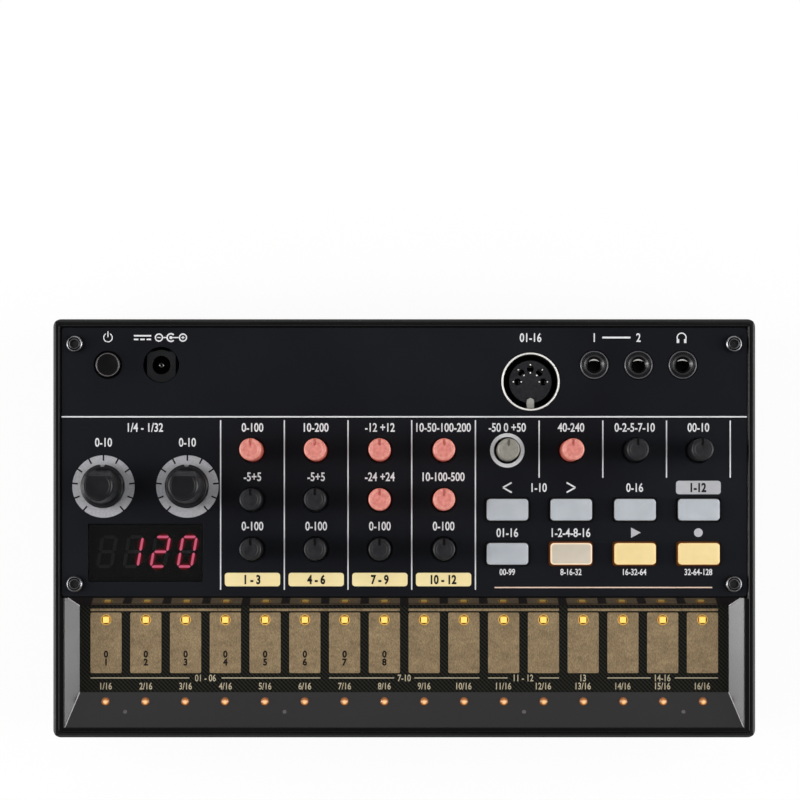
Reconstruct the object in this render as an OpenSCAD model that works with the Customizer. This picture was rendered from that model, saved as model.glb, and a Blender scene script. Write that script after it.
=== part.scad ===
// Desktop analog drum synthesizer: a deep tray case with a drop-in top frame, a control
// panel with turning knobs and push buttons, and a recessed strip of touch pads.
// Millimetres. +X is to the right, +Y to the rear edge with the sockets, +Z up.
// The origin is on the table, under the middle of the case.

/* [Case] */
// Outside width of the case
case_w = 193; // [175:0.5:215]
// Corner radius of the case, seen from above
case_corner_r = 2.2; // [1.9:0.1:3.5]
// Thickness of the side walls
wall_t = 1.4; // [1.2:0.1:1.7]
// Thickness of the floor
floor_t = 2; // [1.8:0.1:2.4]
// Chamfer around the rim of the case
rim_chamfer = 0.7; // [0.3:0.1:0.9]
// Chamfer around the bottom of the case
base_chamfer = 1.2; // [0.4:0.1:1.6]
// How far the rim of the case stays below the top of the frame
rim_drop = 0.4; // [0.2:0.1:0.8]

/* [Height stack] */
// Gap between the table and the underside of the case
foot_stand = 2; // [1.4:0.1:4]
// Thickness of the roof over the battery bay
bay_roof_t = 1.2; // [1:0.1:2]
// Height of the standoffs between the bay roof and the main board
board_gap = 0.6; // [0.4:0.1:1.5]
// Thickness of the circuit boards
board_t = 1.6; // [1:0.1:2]
// Height of a pot body above the main board
pot_h = 6.5; // [6:0.1:8]
// Gap between the pot bodies and the control panel
pot_gap = 0.8; // [0.4:0.1:0.9]
// Thickness of the control panel
panel_t = 1.6; // [1.2:0.1:2]
// How far the frame stands above the control panel
frame_proud = 0.4; // [0.2:0.1:0.8]

/* [Top frame] */
// Thickness of the lip beside the control panel
lip_t = 0.55; // [0.5:0.05:1.2]
// Width of the rim beside the touch strip
rim_w = 1.55; // [1.3:0.05:2.2]
// Width of the rim in front of the touch strip
front_rim_w = 1.2; // [1:0.1:2.5]
// Width of the ledge under the control panel
ledge_w = 3; // [2:0.1:3.4]
// Width of the bridge under the front edge of the control panel
bridge_w = 2; // [1.5:0.1:2.4]
// Drop from the top of the frame to the start of the bevels
rim_step = 1.15; // [0.6:0.05:1.5]
// Width of the side bevels, seen from above
side_run = 3.6; // [3:0.1:4]
// Width of the front bevel, seen from above
front_run = 9.4; // [8.6:0.1:12]
// Width of the sloped rear wall, seen from above
back_run = 2.25; // [1.8:0.05:3]
// Bare strip between the control panel and the rear wall of the recess
step_gap = 0.55; // [0.3:0.05:1]
// Depth of the touch plate below the underside of the control panel
wall_drop = 3; // [2.6:0.1:3.4]

/* [Touch strip] */
// Visible depth of the touch plate
touch_d = 23.9; // [23:0.1:26]
// Thickness of the touch plate
plate_t = 1.6; // [1.2:0.1:2]
// How far the touch plate reaches under the frame at the rear and the sides
plate_lap = 1.9; // [1.5:0.1:2]
// How far the touch plate reaches under the front bevel
plate_front_lap = 3.5; // [3.45:0.05:3.9]
// Number of pads, with a lamp each
pad_count = 16; // [8:4:16]
// Number of pads under one guard bar
pads_per_bar = 4; // [2:2:4]
// Bare plate beside the first and the last pad
pad_side = 3; // [2:0.1:6]
// Width of a pad
pad_w = 8.6; // [7:0.1:9.4]
// Length of a pad
pad_d = 16.75; // [14:0.05:18]
// Thickness of the pads and bars
pad_t = 0.1; // [0.05:0.01:0.3]
// Corner radius of a pad
pad_corner_r = 0.4; // [0.2:0.05:1]
// Distance from the rear of the visible plate to the pads
pad_inset = 1.85; // [1.5:0.05:2.5]
// Depth of a guard bar
bar_d = 0.67; // [0.4:0.01:0.9]
// Gap between a guard bar and its pads
bar_gap = 0.42; // [0.25:0.01:0.6]
// Distance from the rear edge of a pad to its light
led_inset = 2; // [1.9:0.05:4]
// Radius of the light holes
led_hole_r = 1.35; // [1.25:0.05:1.7]
// Width of a light chip
led_w = 1.7; // [1.5:0.05:1.7]
// Height of a light chip
led_h = 1; // [0.6:0.1:1.1]
// How far the light chips sit below the plate surface
led_sink = 0.15; // [0.1:0.05:0.3]
// Radius of the amber lenses in the front bevel
lamp_r = 1; // [0.7:0.05:1]
// Distance of the lenses in front of the visible plate
lamp_inset = 2.45; // [2.2:0.05:2.5]
// Height of a lens dome
lamp_dome = 0.5; // [0.2:0.05:0.7]

/* [Control panel] */
// Depth of the control panel
panel_d = 73.8; // [67:0.1:81]
// Corner radius of the control panel
panel_corner_r = 0.8; // [0.4:0.1:1.5]
// Left edge of the panel to the first knob column
column_left = 52.45; // [51.8:0.05:53.2]
// Last knob column to the right edge of the panel
column_right = 13.35; // [12.6:0.05:14]
// Rear edge of the panel to the first knob row
knob_row = 33.75; // [33:0.05:35]
// Last knob row to the front edge of the panel
knob_front = 12.95; // [12:0.05:14]
// Left edge of the panel to the middle of the dials and the display
block_left = 23.05; // [22.7:0.05:23.6]
// Distance between the two dials
dial_pitch = 23.05; // [20:0.05:23.3]
// Distance between the dials and the middle of the display
dial_row = 18.2; // [17:0.05:20.4]
// Last button row to the front edge of the panel
button_front = 11.65; // [10.8:0.05:12.6]
// Distance between the button rows
button_row_pitch = 12.1; // [11:0.05:12.6]
// Rear edge of the panel to the small sockets and the power button
jack_row = 10.25; // [9.6:0.05:11]
// Rear edge of the panel to the round multi-pin socket
din_row = 14.85; // [13.6:0.05:15]

/* [Knobs] */
// Radius of the small knobs and of the dial shafts
knob_r = 3; // [2.6:0.05:3.2]
// Height of the small knobs above the panel
knob_stand = 9.5; // [6:0.1:12]
// Chamfer on the top edge of a small knob
knob_chamfer = 0.35; // [0.1:0.05:0.6]
// Radius of the panel holes for the knobs
knob_hole_r = 3.6; // [3.5:0.05:4]
// Width of the pointer notch
notch_w = 0.8; // [0.5:0.05:1.2]
// Length of the pointer notch
notch_l = 1.9; // [1:0.1:2.4]
// Depth of the pointer notch
notch_d = 0.5; // [0.3:0.05:0.8]
// Radius of a dial skirt
dial_skirt_r = 6; // [5.4:0.05:7]
// Height of a dial skirt
dial_skirt_h = 2.6; // [1.6:0.1:4]
// Radius of a dial grip at its foot
dial_grip_r = 4.9; // [4.4:0.05:5.2]
// Radius of a dial at its top edge
dial_top_r = 4.2; // [3.9:0.05:4.5]
// Chamfer on the top edge of a dial
dial_edge = 0.5; // [0.2:0.05:0.8]
// Chamfer on the edge of a dial skirt
dial_skirt_edge = 0.4; // [0.2:0.05:0.8]
// Height of a dial above the panel
dial_stand = 13.4; // [11:0.1:18]
// Gap between a dial and the panel
dial_lift = 0.5; // [0.3:0.05:0.8]
// Distance of the sloped flat on a dial from the dial axis, at the top
dial_flat_top = 2.5; // [2.3:0.05:3.4]
// Distance of the sloped flat from the dial axis, at the skirt
dial_flat_foot = 4.6; // [4.4:0.05:5]
// Radius of the pointer notch in a dial skirt
dial_notch_r = 0.75; // [0.4:0.05:1]
// How far a dial shaft reaches above the panel
dial_shaft_stand = 8.5; // [6:0.1:9]

/* [Pots] */
// Width of a pot body
pot_w = 9.8; // [9:0.1:11]
// Gap between the pot bodies of neighbouring rows
pot_row_gap = 2.15; // [1.6:0.05:4]
// Room under a shaft for its light chip
shaft_room = 1.2; // [1:0.1:2]
// Width of a knob light chip
chip_w = 1.6; // [1:0.1:2.4]
// Depth of a knob light chip
chip_d = 0.8; // [0.5:0.1:2.4]
// Height of a knob light chip
chip_h = 0.6; // [0.4:0.05:0.8]

/* [Buttons] */
// Width of a button
button_w = 11.7; // [9:0.1:12.4]
// Depth of a button
button_d = 6.25; // [5:0.05:7]
// Corner radius of a button
button_corner_r = 0.7; // [0.3:0.05:1.5]
// Height of a button above the panel
button_stand = 1.6; // [1:0.1:3]
// Height of the power button above the panel
power_stand = 0.8; // [0.6:0.1:2]
// Radius of the power button
power_r = 3.4; // [2.8:0.05:3.6]
// Radius of the panel hole for the power button
power_hole_r = 3.9; // [3.8:0.05:4.3]
// Left edge of the panel to the power button
power_left = 12.75; // [12.4:0.05:13.5]
// Width of the flange that keeps a button under the panel
flange_w = 0.8; // [0.5:0.1:1]
// Thickness of the flange
flange_t = 1.2; // [0.8:0.1:1.4]
// Gap between a flange and the panel
flange_gap = 0.2; // [0.1:0.05:0.4]
// Radius of a button stem
stem_r = 1.6; // [1.2:0.05:2]
// How deep a stem reaches into its switch
stem_dip = 0.6; // [0.3:0.1:1]
// Width of a switch body
switch_w = 6.2; // [5:0.1:7]
// Height of a switch body under the buttons
switch_h = 3.6; // [3.3:0.1:4]
// Depth of the well in a switch
switch_well = 2.4; // [2.2:0.1:2.8]
// Height of the power switch on the jack board
power_switch_h = 7; // [4:0.1:8.5]

/* [Sockets] */
// Height of a jack body above the jack board
jack_body_h = 12.4; // [11:0.1:14]
// Gap between a jack body and the panel
jack_gap = 0.6; // [0.3:0.1:0.9]
// Width of a jack body
jack_body_w = 8.8; // [8.2:0.1:10]
// Last jack to the right edge of the panel
jack_right = 17.65; // [17:0.05:18.2]
// Distance between the jacks
jack_pitch = 12.15; // [11.6:0.05:12.6]
// Number of jacks
jack_count = 3; // [1:1:3]
// Radius of a jack nose
nose_r = 3.9; // [3.4:0.05:4]
// Radius of the panel hole for a jack nose
nose_hole_r = 4.1; // [4.05:0.05:4.4]
// How far a jack nose stands above the panel
nose_stand = 0.4; // [0.2:0.1:1.2]
// Radius of the jack bore
jack_bore_r = 1.8; // [1.76:0.01:2]
// Depth of the jack bore under its mouth
jack_bore_l = 12.6; // [10:0.1:13]
// Radius of the wide mouth of a jack
jack_mouth_r = 2.75; // [2.3:0.05:3]
// Depth of the wide mouth of a jack
jack_mouth_l = 0.9; // [0.4:0.1:1.2]
// Left edge of the panel to the power socket
dc_left = 27.35; // [26.8:0.05:28]
// Radius of the panel hole for the power socket
dc_hole_r = 4.95; // [4.4:0.05:5.2]
// Radius of the power socket collar
dc_collar_r = 4.2; // [3.6:0.05:4.3]
// Distance of the flats on the collar from its axis
dc_flat = 3.9; // [3.3:0.05:4.1]
// How far the collar stays below the panel surface
dc_sink = 0.7; // [0.3:0.1:1.2]
// Radius of the power socket bore
dc_bore_r = 2.6; // [2.3:0.05:2.9]
// Depth of the power socket bore
dc_bore_l = 10; // [7:0.1:11]
// Radius of the power socket pin
dc_pin_r = 0.85; // [0.6:0.05:1.1]
// How far the pin stays below the collar
dc_pin_sink = 1.2; // [0.5:0.1:3]
// Round multi-pin socket to the right edge of the panel
din_right = 59.45; // [58.8:0.05:60.2]
// Outer radius of its shell
din_r = 8; // [7.6:0.05:8.4]
// Thickness of its shell
din_shell_t = 0.6; // [0.4:0.05:0.9]
// How far its shell stands above the panel
din_stand = 0.25; // [0.1:0.05:0.8]
// Gap between its shell and the panel
din_gap = 0.2; // [0.1:0.05:0.4]
// Radius of its insert
din_insert_r = 5.85; // [5.2:0.05:6]
// How far the insert stays below the panel surface
din_sink = 1.2; // [0.5:0.1:2]
// Height of the base that carries the insert
din_base_h = 3; // [2:0.1:5]
// Radius of its ring of contacts
din_pcd_r = 3.5; // [3.3:0.05:3.7]
// Outer radius of a contact tube
din_tube_r = 0.9; // [0.7:0.05:1]
// Inner radius of a contact tube
din_pin_r = 0.6; // [0.4:0.05:0.65]
// Width of its key
din_key_w = 2; // [1.4:0.1:2.2]
// How deep its key reaches in from the shell
din_key_l = 2.6; // [1.6:0.1:2.7]

/* [Display] */
// Width of the display window
window_w = 31.4; // [24:0.1:31.6]
// Depth of the display window
window_d = 15.7; // [12:0.1:15.8]
// Thickness of the display window
window_t = 1; // [0.8:0.1:1.5]
// Middle of the display to the front edge of the panel
display_front = 11.95; // [11.6:0.05:12.2]
// Width of the digit module
module_w = 30.2; // [24:0.1:30.4]
// Depth of the digit module
module_d = 14; // [11:0.1:14.2]

/* [Batteries] */
// Cell diameter
cell_d = 14.5; // [13.8:0.1:14.6]
// Cell length without the nub
cell_l = 49.2; // [44:0.1:54]
// Radius of the nub
nub_r = 2.7; // [2:0.1:3]
// Height of the nub
nub_h = 1.3; // [1:0.1:1.6]
// Gap around a cell
cell_gap = 0.4; // [0.2:0.05:0.8]
// Room for a contact at each end of a cell
contact_room = 2.2; // [1.8:0.1:2.6]
// Thickness of a contact plate
contact_t = 0.4; // [0.3:0.05:0.6]
// Width of a contact plate
contact_w = 9; // [7:0.1:11]
// Gap between a contact and a cell
contact_gap = 0.1; // [0.05:0.01:0.2]
// Thickness of the bay walls
bay_wall_t = 1.2; // [1:0.1:1.8]
// Gap between the battery bay and the jack board
bay_gap = 2.8; // [2.4:0.1:3.2]
// Thickness of the battery door
door_t = 1.5; // [1.2:0.05:1.6]
// How far the door reaches past the bay on each side
door_lap = 3; // [2:0.1:3.4]
// Width of the tongues along the door
tongue_w = 1.2; // [0.8:0.1:1.8]
// Thickness of the tongues
tongue_t = 0.7; // [0.5:0.05:0.8]
// Travel of the door
door_travel = 6; // [4:0.1:6.4]
// Thickness of the floor that is left over the door
door_cover_t = 1.4; // [1:0.1:2]
// Number of finger grooves in the door
grip_count = 5; // [3:1:7]
// Distance between the finger grooves
grip_pitch = 2.4; // [1.8:0.1:3]
// Width of a finger groove
grip_w = 1.2; // [0.8:0.1:1.4]
// Depth of a finger groove
grip_d = 0.5; // [0.3:0.05:0.6]
// Length of a finger groove
grip_l = 30; // [16:1:60]
// Front edge of the door to the first finger groove
grip_inset = 6; // [3:0.5:12]

/* [Speaker] */
// Bare floor around the rib of the speaker
speaker_margin = 0.75; // [0.2:0.05:2]
// Y of the speaker
speaker_y = 4; // [2:0.5:8]
// Thickness of the speaker flange
speaker_flange_t = 1.2; // [0.8:0.1:2]
// Width of the speaker flange
speaker_flange_w = 2.8; // [2:0.1:3.4]
// Height of the speaker basket
basket_h = 6.2; // [5.6:0.1:8]
// Thickness of the basket walls
basket_t = 1.2; // [0.8:0.1:1.4]
// Thickness of the cone and its surround
cone_t = 0.4; // [0.3:0.05:0.6]
// Depth of the cone
cone_d = 4; // [3:0.1:4.4]
// Radius of the dust cap of the cone
cone_cap_r = 4.4; // [3.5:0.1:5]
// Radius of the magnet
magnet_r = 8; // [6:0.1:8.4]
// Height of the magnet
magnet_h = 5; // [3:0.1:6]
// Thickness of the rib around the speaker
speaker_rib_t = 0.8; // [0.6:0.05:1]
// Height of the rib around the speaker
speaker_rib_h = 3; // [2:0.1:5]
// Distance between the grille slots
slot_pitch = 3.4; // [2.6:0.1:3.6]
// Width of a grille slot
slot_w = 1.6; // [1:0.1:2]
// Distance from the edge of the speaker to the grille slots
slot_margin = 3.4; // [3.2:0.1:4.2]

/* [Boards] */
// Distance from the case walls to the main board
board_side_gap = 1.2; // [0.8:0.1:3]
// How far the main board reaches under the touch plate
board_front_lap = 2.6; // [2.4:0.1:4]
// Rear edge of the panel to the rear edge of the main board
board_rear = 25.2; // [24.8:0.05:26.4]
// Gap between the main board and the bosses
board_boss_gap = 0.8; // [0.5:0.1:1.4]
// Gap between the two boards
board_split = 2.2; // [1.8:0.1:2.6]
// Depth of the jack board
jack_board_d = 21.4; // [20.4:0.1:22]
// Width of the header between the main board and the touch plate
header_w = 40; // [20:1:60]
// Depth of the header
header_d = 2.5; // [2:0.1:2.6]
// Width of the ribbon between the boards
ribbon_w = 16; // [8:0.5:18]
// Thickness of the ribbon
ribbon_t = 0.5; // [0.3:0.05:0.8]
// X of the ribbon
ribbon_x = -22; // [-30:0.5:-12]
// Length of a ribbon end on its board
ribbon_lap = 2; // [1.2:0.1:2.4]
// Edge of the battery bay to the main board screws
board_screw_inset = 5; // [4:0.1:7]
// Front edge of the jack board to its first two screws
jack_screw_row = 11; // [10:0.1:12]
// First jack board screw to the power socket
jack_screw_left = 16.8; // [14:0.1:20]
// Second jack board screw to the round multi-pin socket
jack_screw_right = 29.7; // [26:0.1:34]
// Distance of the third standoff from the edge of the jack board
standoff_edge = 0.6; // [0.4:0.1:1.2]

/* [Fasteners and feet] */
// Side edge of the panel to its screws
screw_inset = 3.7; // [3.4:0.05:4]
// Rear edge of the panel to its rear screws
screw_rear = 4.55; // [4:0.05:5]
// Front edge of the panel to its front screws
screw_front = 3.35; // [2.9:0.05:3.6]
// Shank radius of all screws
screw_r = 1.3; // [1.1:0.05:1.4]
// Head radius of the panel screws
head_r = 2.25; // [2:0.05:2.4]
// Head height of the panel screws
head_h = 1.6; // [1.2:0.1:2.2]
// Width across flats of the hexagon socket in a panel screw
hex_af = 2; // [1.6:0.1:2.4]
// Depth of the hexagon socket
hex_d = 1; // [0.6:0.1:1.1]
// Length of the panel screws under their heads
panel_screw_l = 12; // [9:0.5:15]
// Radius of the panel screw bosses
boss_r = 3.3; // [2.9:0.05:3.4]
// Distance of the case screws from the sides of the case
case_screw_side = 26.5; // [23:0.5:30]
// Distance of the case screws from the front of the case
case_screw_front = 4.3; // [4:0.05:4.4]
// Radius of the case screw bosses
case_boss_r = 3.4; // [3.2:0.05:3.5]
// Length of the case screws under their heads
case_screw_l = 10; // [8:0.5:14]
// How far the case screws reach into the frame
case_screw_bite = 2.2; // [1.6:0.1:2.2]
// Head radius of the case and board screws
pan_head_r = 2.2; // [1.9:0.05:2.2]
// Head height of the case and board screws
pan_head_h = 1.6; // [1.2:0.1:1.8]
// Width of the cross slot in those heads
cross_w = 0.5; // [0.4:0.05:0.8]
// Length of the board screws under their heads
board_screw_l = 3.2; // [3:0.1:3.3]
// Radius of the standoffs under the boards
standoff_r = 3; // [2.4:0.05:3.2]
// Radius of the posts under the touch plate
post_r = 2.5; // [2:0.05:3]
// Radius of a rubber foot
foot_r = 5; // [4:0.1:6]
// How deep a rubber foot sits in the floor
foot_sink = 0.6; // [0.4:0.1:1]
// Distance of the feet from the sides of the case
foot_inset_x = 10.5; // [9:0.5:13]
// Distance of the feet from the front and rear of the case
foot_inset_y = 9.5; // [8.5:0.5:11]

/* [Clearances] */
// Gap between the case walls and the frame
frame_gap = 0.15; // [0.1:0.05:0.3]
// Gap between the frame and the control panel
panel_gap = 0.25; // [0.1:0.05:0.4]
// Running clearance of a shaft in its pot
shaft_clear = 0.05; // [0.02:0.01:0.1]
// Clearance of a dial on its shaft
dial_clear = 0.03; // [0.02:0.01:0.05]
// Clearance of a screw in its pilot hole
screw_clear = 0.05; // [0.03:0.01:0.1]
// Room past the tip of a case screw
pilot_room = 0.2; // [0.1:0.05:0.3]
// Clearance of a screw in a plain hole
screw_pass = 0.3; // [0.2:0.05:0.4]
// Gap around a button in the panel
button_gap = 0.25; // [0.15:0.05:0.4]
// Clearance of a button stem in its switch
stem_clear = 0.1; // [0.05:0.01:0.3]
// Gap around the display window
window_gap = 0.1; // [0.05:0.01:0.2]
// Clearance around a lens
lamp_clear = 0.05; // [0.03:0.01:0.1]
// Clearance around a contact tube
tube_clear = 0.05; // [0.03:0.01:0.1]
// Clearance around a foot and a sunk screw head
seat_clear = 0.1; // [0.05:0.05:0.2]
// Sliding clearance above and below the door
door_clear = 0.1; // [0.05:0.01:0.15]
// Gap around the door
door_gap = 0.2; // [0.1:0.05:0.4]
// Gap around the speaker
speaker_gap = 0.3; // [0.2:0.05:0.4]

/* [Hidden] */
$fn = 48;
over = 1;
skin = 0.01;
COLUMNS = 8;
KNOB_ROWS = 3;

KNOB_NAMES = [
    "kick_click_knob", "kick_pitch_knob", "kick_decay_knob",
    "snare_snap_knob", "snare_pitch_knob", "snare_decay_knob",
    "tom_high_knob", "tom_low_knob", "tom_decay_knob",
    "hat_closed_knob", "hat_open_knob", "hat_grain_knob",
    "speed_knob", "tempo_knob", "level_knob", "volume_knob"
];
DIAL_NAMES = ["stutter_time_dial", "stutter_depth_dial"];
SHAFT_NAMES = ["stutter_time_shaft", "stutter_depth_shaft"];
BUTTON_NAMES = [
    "part_down_button", "part_up_button", "mute_button", "function_button",
    "memory_button", "step_button", "play_button", "record_button"
];

// Colours
PINK = [0.93, 0.55, 0.55];
SMOKE = [0.55, 0.53, 0.48];
BLACK = [0.1, 0.1, 0.1];
PALE = [0.7, 0.72, 0.75];
YELLOW = [0.95, 0.86, 0.6];
KNOB_COLOURS = [
    PINK, BLACK, BLACK,
    PINK, BLACK, BLACK,
    PINK, PINK, BLACK,
    PINK, PINK, BLACK,
    SMOKE, PINK, BLACK, BLACK
];
BUTTON_COLOURS = [PALE, PALE, PALE, PALE, PALE, SMOKE, YELLOW, YELLOW];

// Knobs that let light through have a light chip under their shaft
LIT_KNOBS = [for (i = [0:len(KNOB_NAMES) - 1]) if (KNOB_COLOURS[i] != BLACK) i];

// Heights, from the table up
z_floor = foot_stand;
z_in = z_floor + floor_t;
z_cell = z_in + cell_gap + cell_d / 2;
z_bay = z_cell + cell_d / 2 + cell_gap;
z_board = z_bay + bay_roof_t + board_gap;
z_board_top = z_board + board_t;
z_panel = z_board_top + pot_h + pot_gap;
z_panel_top = z_panel + panel_t;
z_top = z_panel_top + frame_proud;
z_rim = z_top - rim_drop;
z_frame = z_panel - wall_drop;
z_bevel = z_top - rim_step;
z_plate = z_frame - plate_t;
z_jack_top = z_panel - jack_gap - jack_body_h;
z_jack_board = z_jack_top - board_t;

// Depths, from the rear of the case to its front
frame_inset = wall_t + frame_gap;
panel_inset = frame_inset + lip_t + panel_gap;
case_d = 2 * frame_inset + lip_t + panel_gap + panel_d + step_gap + back_run
    + touch_d + front_run + front_rim_w;
y_panel_rear = case_d / 2 - panel_inset;
y_panel_front = y_panel_rear - panel_d;
y_step = y_panel_front - step_gap;
y_win_rear = y_step - back_run;
y_win_front = y_win_rear - touch_d;
y_bevel = y_win_front - front_run;
y_knobs = y_panel_rear - knob_row;
y_buttons = y_panel_front + button_front + button_row_pitch;
y_jacks = y_panel_rear - jack_row;
y_din = y_panel_rear - din_row;
y_display = y_panel_front + display_front;
y_dials = y_display + dial_row;
row_pitch = (panel_d - knob_row - knob_front) / (KNOB_ROWS - 1);
pot_d = row_pitch - pot_row_gap;
y_pads = y_win_rear - pad_inset - pad_d / 2;
y_leds = y_win_rear - pad_inset - led_inset;
y_bars = y_win_rear - pad_inset + bar_gap + bar_d / 2;
y_lamps = y_win_front - lamp_inset;
y_board_rear = y_panel_rear - board_rear;
y_board_front = y_win_rear - board_front_lap;
y_jack_board = y_board_rear + board_split;

// Widths
in_w = case_w - 2 * wall_t;
in_d = case_d - 2 * wall_t;
frame_w = case_w - 2 * frame_inset;
frame_d = case_d - 2 * frame_inset;
panel_w = case_w - 2 * panel_inset;
bevel_x = frame_w / 2 - rim_w;
win_x = bevel_x - side_run;
pad_pitch = (2 * win_x - pad_w - 2 * pad_side) / (pad_count - 1);
first_column_x = column_left - panel_w / 2;
column_pitch = (panel_w - column_left - column_right) / (COLUMNS - 1);
left_block_x = block_left - panel_w / 2;
power_x = power_left - panel_w / 2;
dc_x = dc_left - panel_w / 2;
din_x = panel_w / 2 - din_right;
first_jack_x = panel_w / 2 - jack_right - (jack_count - 1) * jack_pitch;
case_screw_x = case_w / 2 - case_screw_side;
in_corner_r = case_corner_r - wall_t;
frame_corner_r = max(0.3, in_corner_r - frame_gap);

// Battery bay and door
bay_w = 2 * (cell_l + nub_h) + 3 * contact_room;
bay_d = 3 * cell_d + 4 * cell_gap;
bay_y = y_jack_board - bay_gap - bay_wall_t - bay_d / 2;
door_w = bay_w + 2 * door_lap;
door_d = bay_d + 2 * door_lap;
door_x = door_w / 2 + tongue_w;
door_pocket = door_t + door_clear;
pad_x = door_x + door_gap + bay_wall_t;
pad_front = bay_y - door_d / 2 - door_gap - bay_wall_t;
pad_rear = bay_y + door_d / 2 + door_travel + 2 * door_gap + bay_wall_t;

// Speaker, between the battery bay and the right wall
speaker_x = (pad_x + in_w / 2) / 2;
speaker_r = (in_w / 2 - pad_x) / 2 - speaker_margin - speaker_rib_t - speaker_gap;
slot_field_r = speaker_r - slot_margin;
slot_count = 2 * floor((slot_field_r - slot_w / 2) / slot_pitch) + 1;

// Places of the fasteners and supports
screw_x = panel_w / 2 - screw_inset;
PANEL_SCREWS = [
    for (x = [-screw_x, screw_x], y = [y_panel_rear - screw_rear, y_panel_front + screw_front])
        [x, y]
];
CASE_SCREWS = [for (x = [-case_screw_x, case_screw_x]) [x, case_screw_front - case_d / 2]];
z_case_head = z_frame + case_screw_bite - case_screw_l;
MAIN_BOARD_SCREWS = [
    for (c = [-0.5, 3.5], s = [-1, 1])
        [column_x(c), bay_y + s * (bay_d / 2 - board_screw_inset)]
];
JACK_BOARD_SCREWS = [
    [dc_x + jack_screw_left, y_jack_board + jack_screw_row],
    [din_x - jack_screw_right, y_jack_board + jack_screw_row],
    [first_jack_x + jack_pitch, y_jack_board + standoff_r + standoff_edge]
];
PLATE_POSTS = [for (i = [0:pad_count / pads_per_bar - 1]) [bar_x_at(i), y_pads]];
FEET = [
    for (x = [-1, 1], y = [-1, 1])
        [x * (case_w / 2 - foot_inset_x), y * (case_d / 2 - foot_inset_y)]
];

// Places of the controls
function column_x(i) = first_column_x + i * column_pitch;
function knob_at(i) = i < 12
    ? [column_x(floor(i / KNOB_ROWS)), y_knobs - (i % KNOB_ROWS) * row_pitch]
    : [column_x(i - 8), y_knobs];
function dial_at(i) = [left_block_x + (i - 0.5) * dial_pitch, y_dials];
function button_at(i) = [column_x(4 + i % 4), y_buttons - floor(i / 4) * button_row_pitch];
function jack_at(i) = [first_jack_x + i * jack_pitch, y_jacks];
function pad_x_at(i) = (i - (pad_count - 1) / 2) * pad_pitch;
function bar_x_at(i) = pad_x_at((i + 0.5) * pads_per_bar - 0.5);
function bevel_z(y) = z_frame + (y_win_front - y) / front_run * (z_bevel - z_frame);

POTS = concat([for (i = [0:15]) knob_at(i)], [for (i = [0:1]) dial_at(i)]);

module rounded_square(w, d, r) {
    square([w - 2 * r, d], center = true);
    square([w, d - 2 * r], center = true);
    for (x = [-1, 1], y = [-1, 1])
        translate([x * (w / 2 - r), y * (d / 2 - r)])
            circle(r);
}

// A plate with rounded corners from one height to another
module slab(w, d, r, z0, z1) {
    translate([0, 0, z0])
        linear_extrude(z1 - z0)
            rounded_square(w, d, r);
}

// A box from one height to another, centred in the plan
module block(w, d, z0, z1) {
    translate([-w / 2, -d / 2, z0])
        cube([w, d, z1 - z0]);
}

// A round bar from one height to another
module bar(r, z0, z1) {
    translate([0, 0, z0])
        cylinder(r = r, h = z1 - z0);
}

// Bars at a list of places
module bars_at(places, r, z0, z1) {
    for (p = places)
        translate(p)
            bar(r, z0, z1);
}

// The side view of the case, with its chamfers, drawn out to a length
module case_profile(width, length) {
    half = width / 2;
    translate([0, 0, -length / 2])
        linear_extrude(length)
            polygon([
                [base_chamfer - half, z_floor],
                [half - base_chamfer, z_floor],
                [half, z_floor + base_chamfer],
                [half, z_rim - rim_chamfer],
                [half - rim_chamfer, z_rim],
                [rim_chamfer - half, z_rim],
                [-half, z_rim - rim_chamfer],
                [-half, z_floor + base_chamfer]
            ]);
}

module case_shell() {
    difference() {
        intersection() {
            slab(case_w, case_d, case_corner_r, z_floor, z_rim);
            rotate([90, 0, 0])
                case_profile(case_w, 2 * case_d);
            rotate([90, 0, 90])
                case_profile(case_d, 2 * case_w);
        }
        slab(in_w, in_d, in_corner_r, z_in, z_rim + over);
    }
}

module case_supports() {
    root = z_floor + floor_t / 2;
    bars_at(PANEL_SCREWS, boss_r, root, z_frame);
    bars_at(CASE_SCREWS, case_boss_r, root, z_frame);
    bars_at(PLATE_POSTS, post_r, root, z_plate);
    bars_at(JACK_BOARD_SCREWS, standoff_r, root, z_jack_board);
    bars_at(MAIN_BOARD_SCREWS, standoff_r, root, z_board);
    translate([0, bay_y, 0])
        block(bay_w + 2 * bay_wall_t, bay_d + 2 * bay_wall_t, root, z_bay + bay_roof_t);
    translate([-pad_x, pad_front, root])
        cube([2 * pad_x, pad_rear - pad_front, z_floor + door_pocket + door_cover_t - root]);
    translate([speaker_x, speaker_y, 0])
        difference() {
            bar(speaker_r + speaker_gap + speaker_rib_t, root, z_in + speaker_rib_h);
            bar(speaker_r + speaker_gap, z_in, z_in + speaker_rib_h + over);
        }
}

module door_pocket() {
    depth = door_d + door_travel + 3 * door_gap;
    translate([-door_w / 2 - door_gap, bay_y - door_d / 2 - door_gap, z_floor - over])
        cube([door_w + 2 * door_gap, depth, door_pocket + over]);
    translate([-door_x - door_gap, bay_y - door_d / 2 - door_gap,
            z_floor + door_t - tongue_t - door_clear])
        cube([2 * (door_x + door_gap), depth, tongue_t + 2 * door_clear]);
}

module grille_slots() {
    for (i = [0:slot_count - 1]) {
        y = (i - (slot_count - 1) / 2) * slot_pitch;
        half = sqrt(slot_field_r * slot_field_r - y * y) - slot_w / 2;
        translate([speaker_x, speaker_y + y, z_floor - over])
            linear_extrude(floor_t + 2 * over) {
                square([2 * half, slot_w], center = true);
                for (x = [-half, half])
                    translate([x, 0])
                        circle(slot_w / 2);
            }
    }
}

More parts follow.
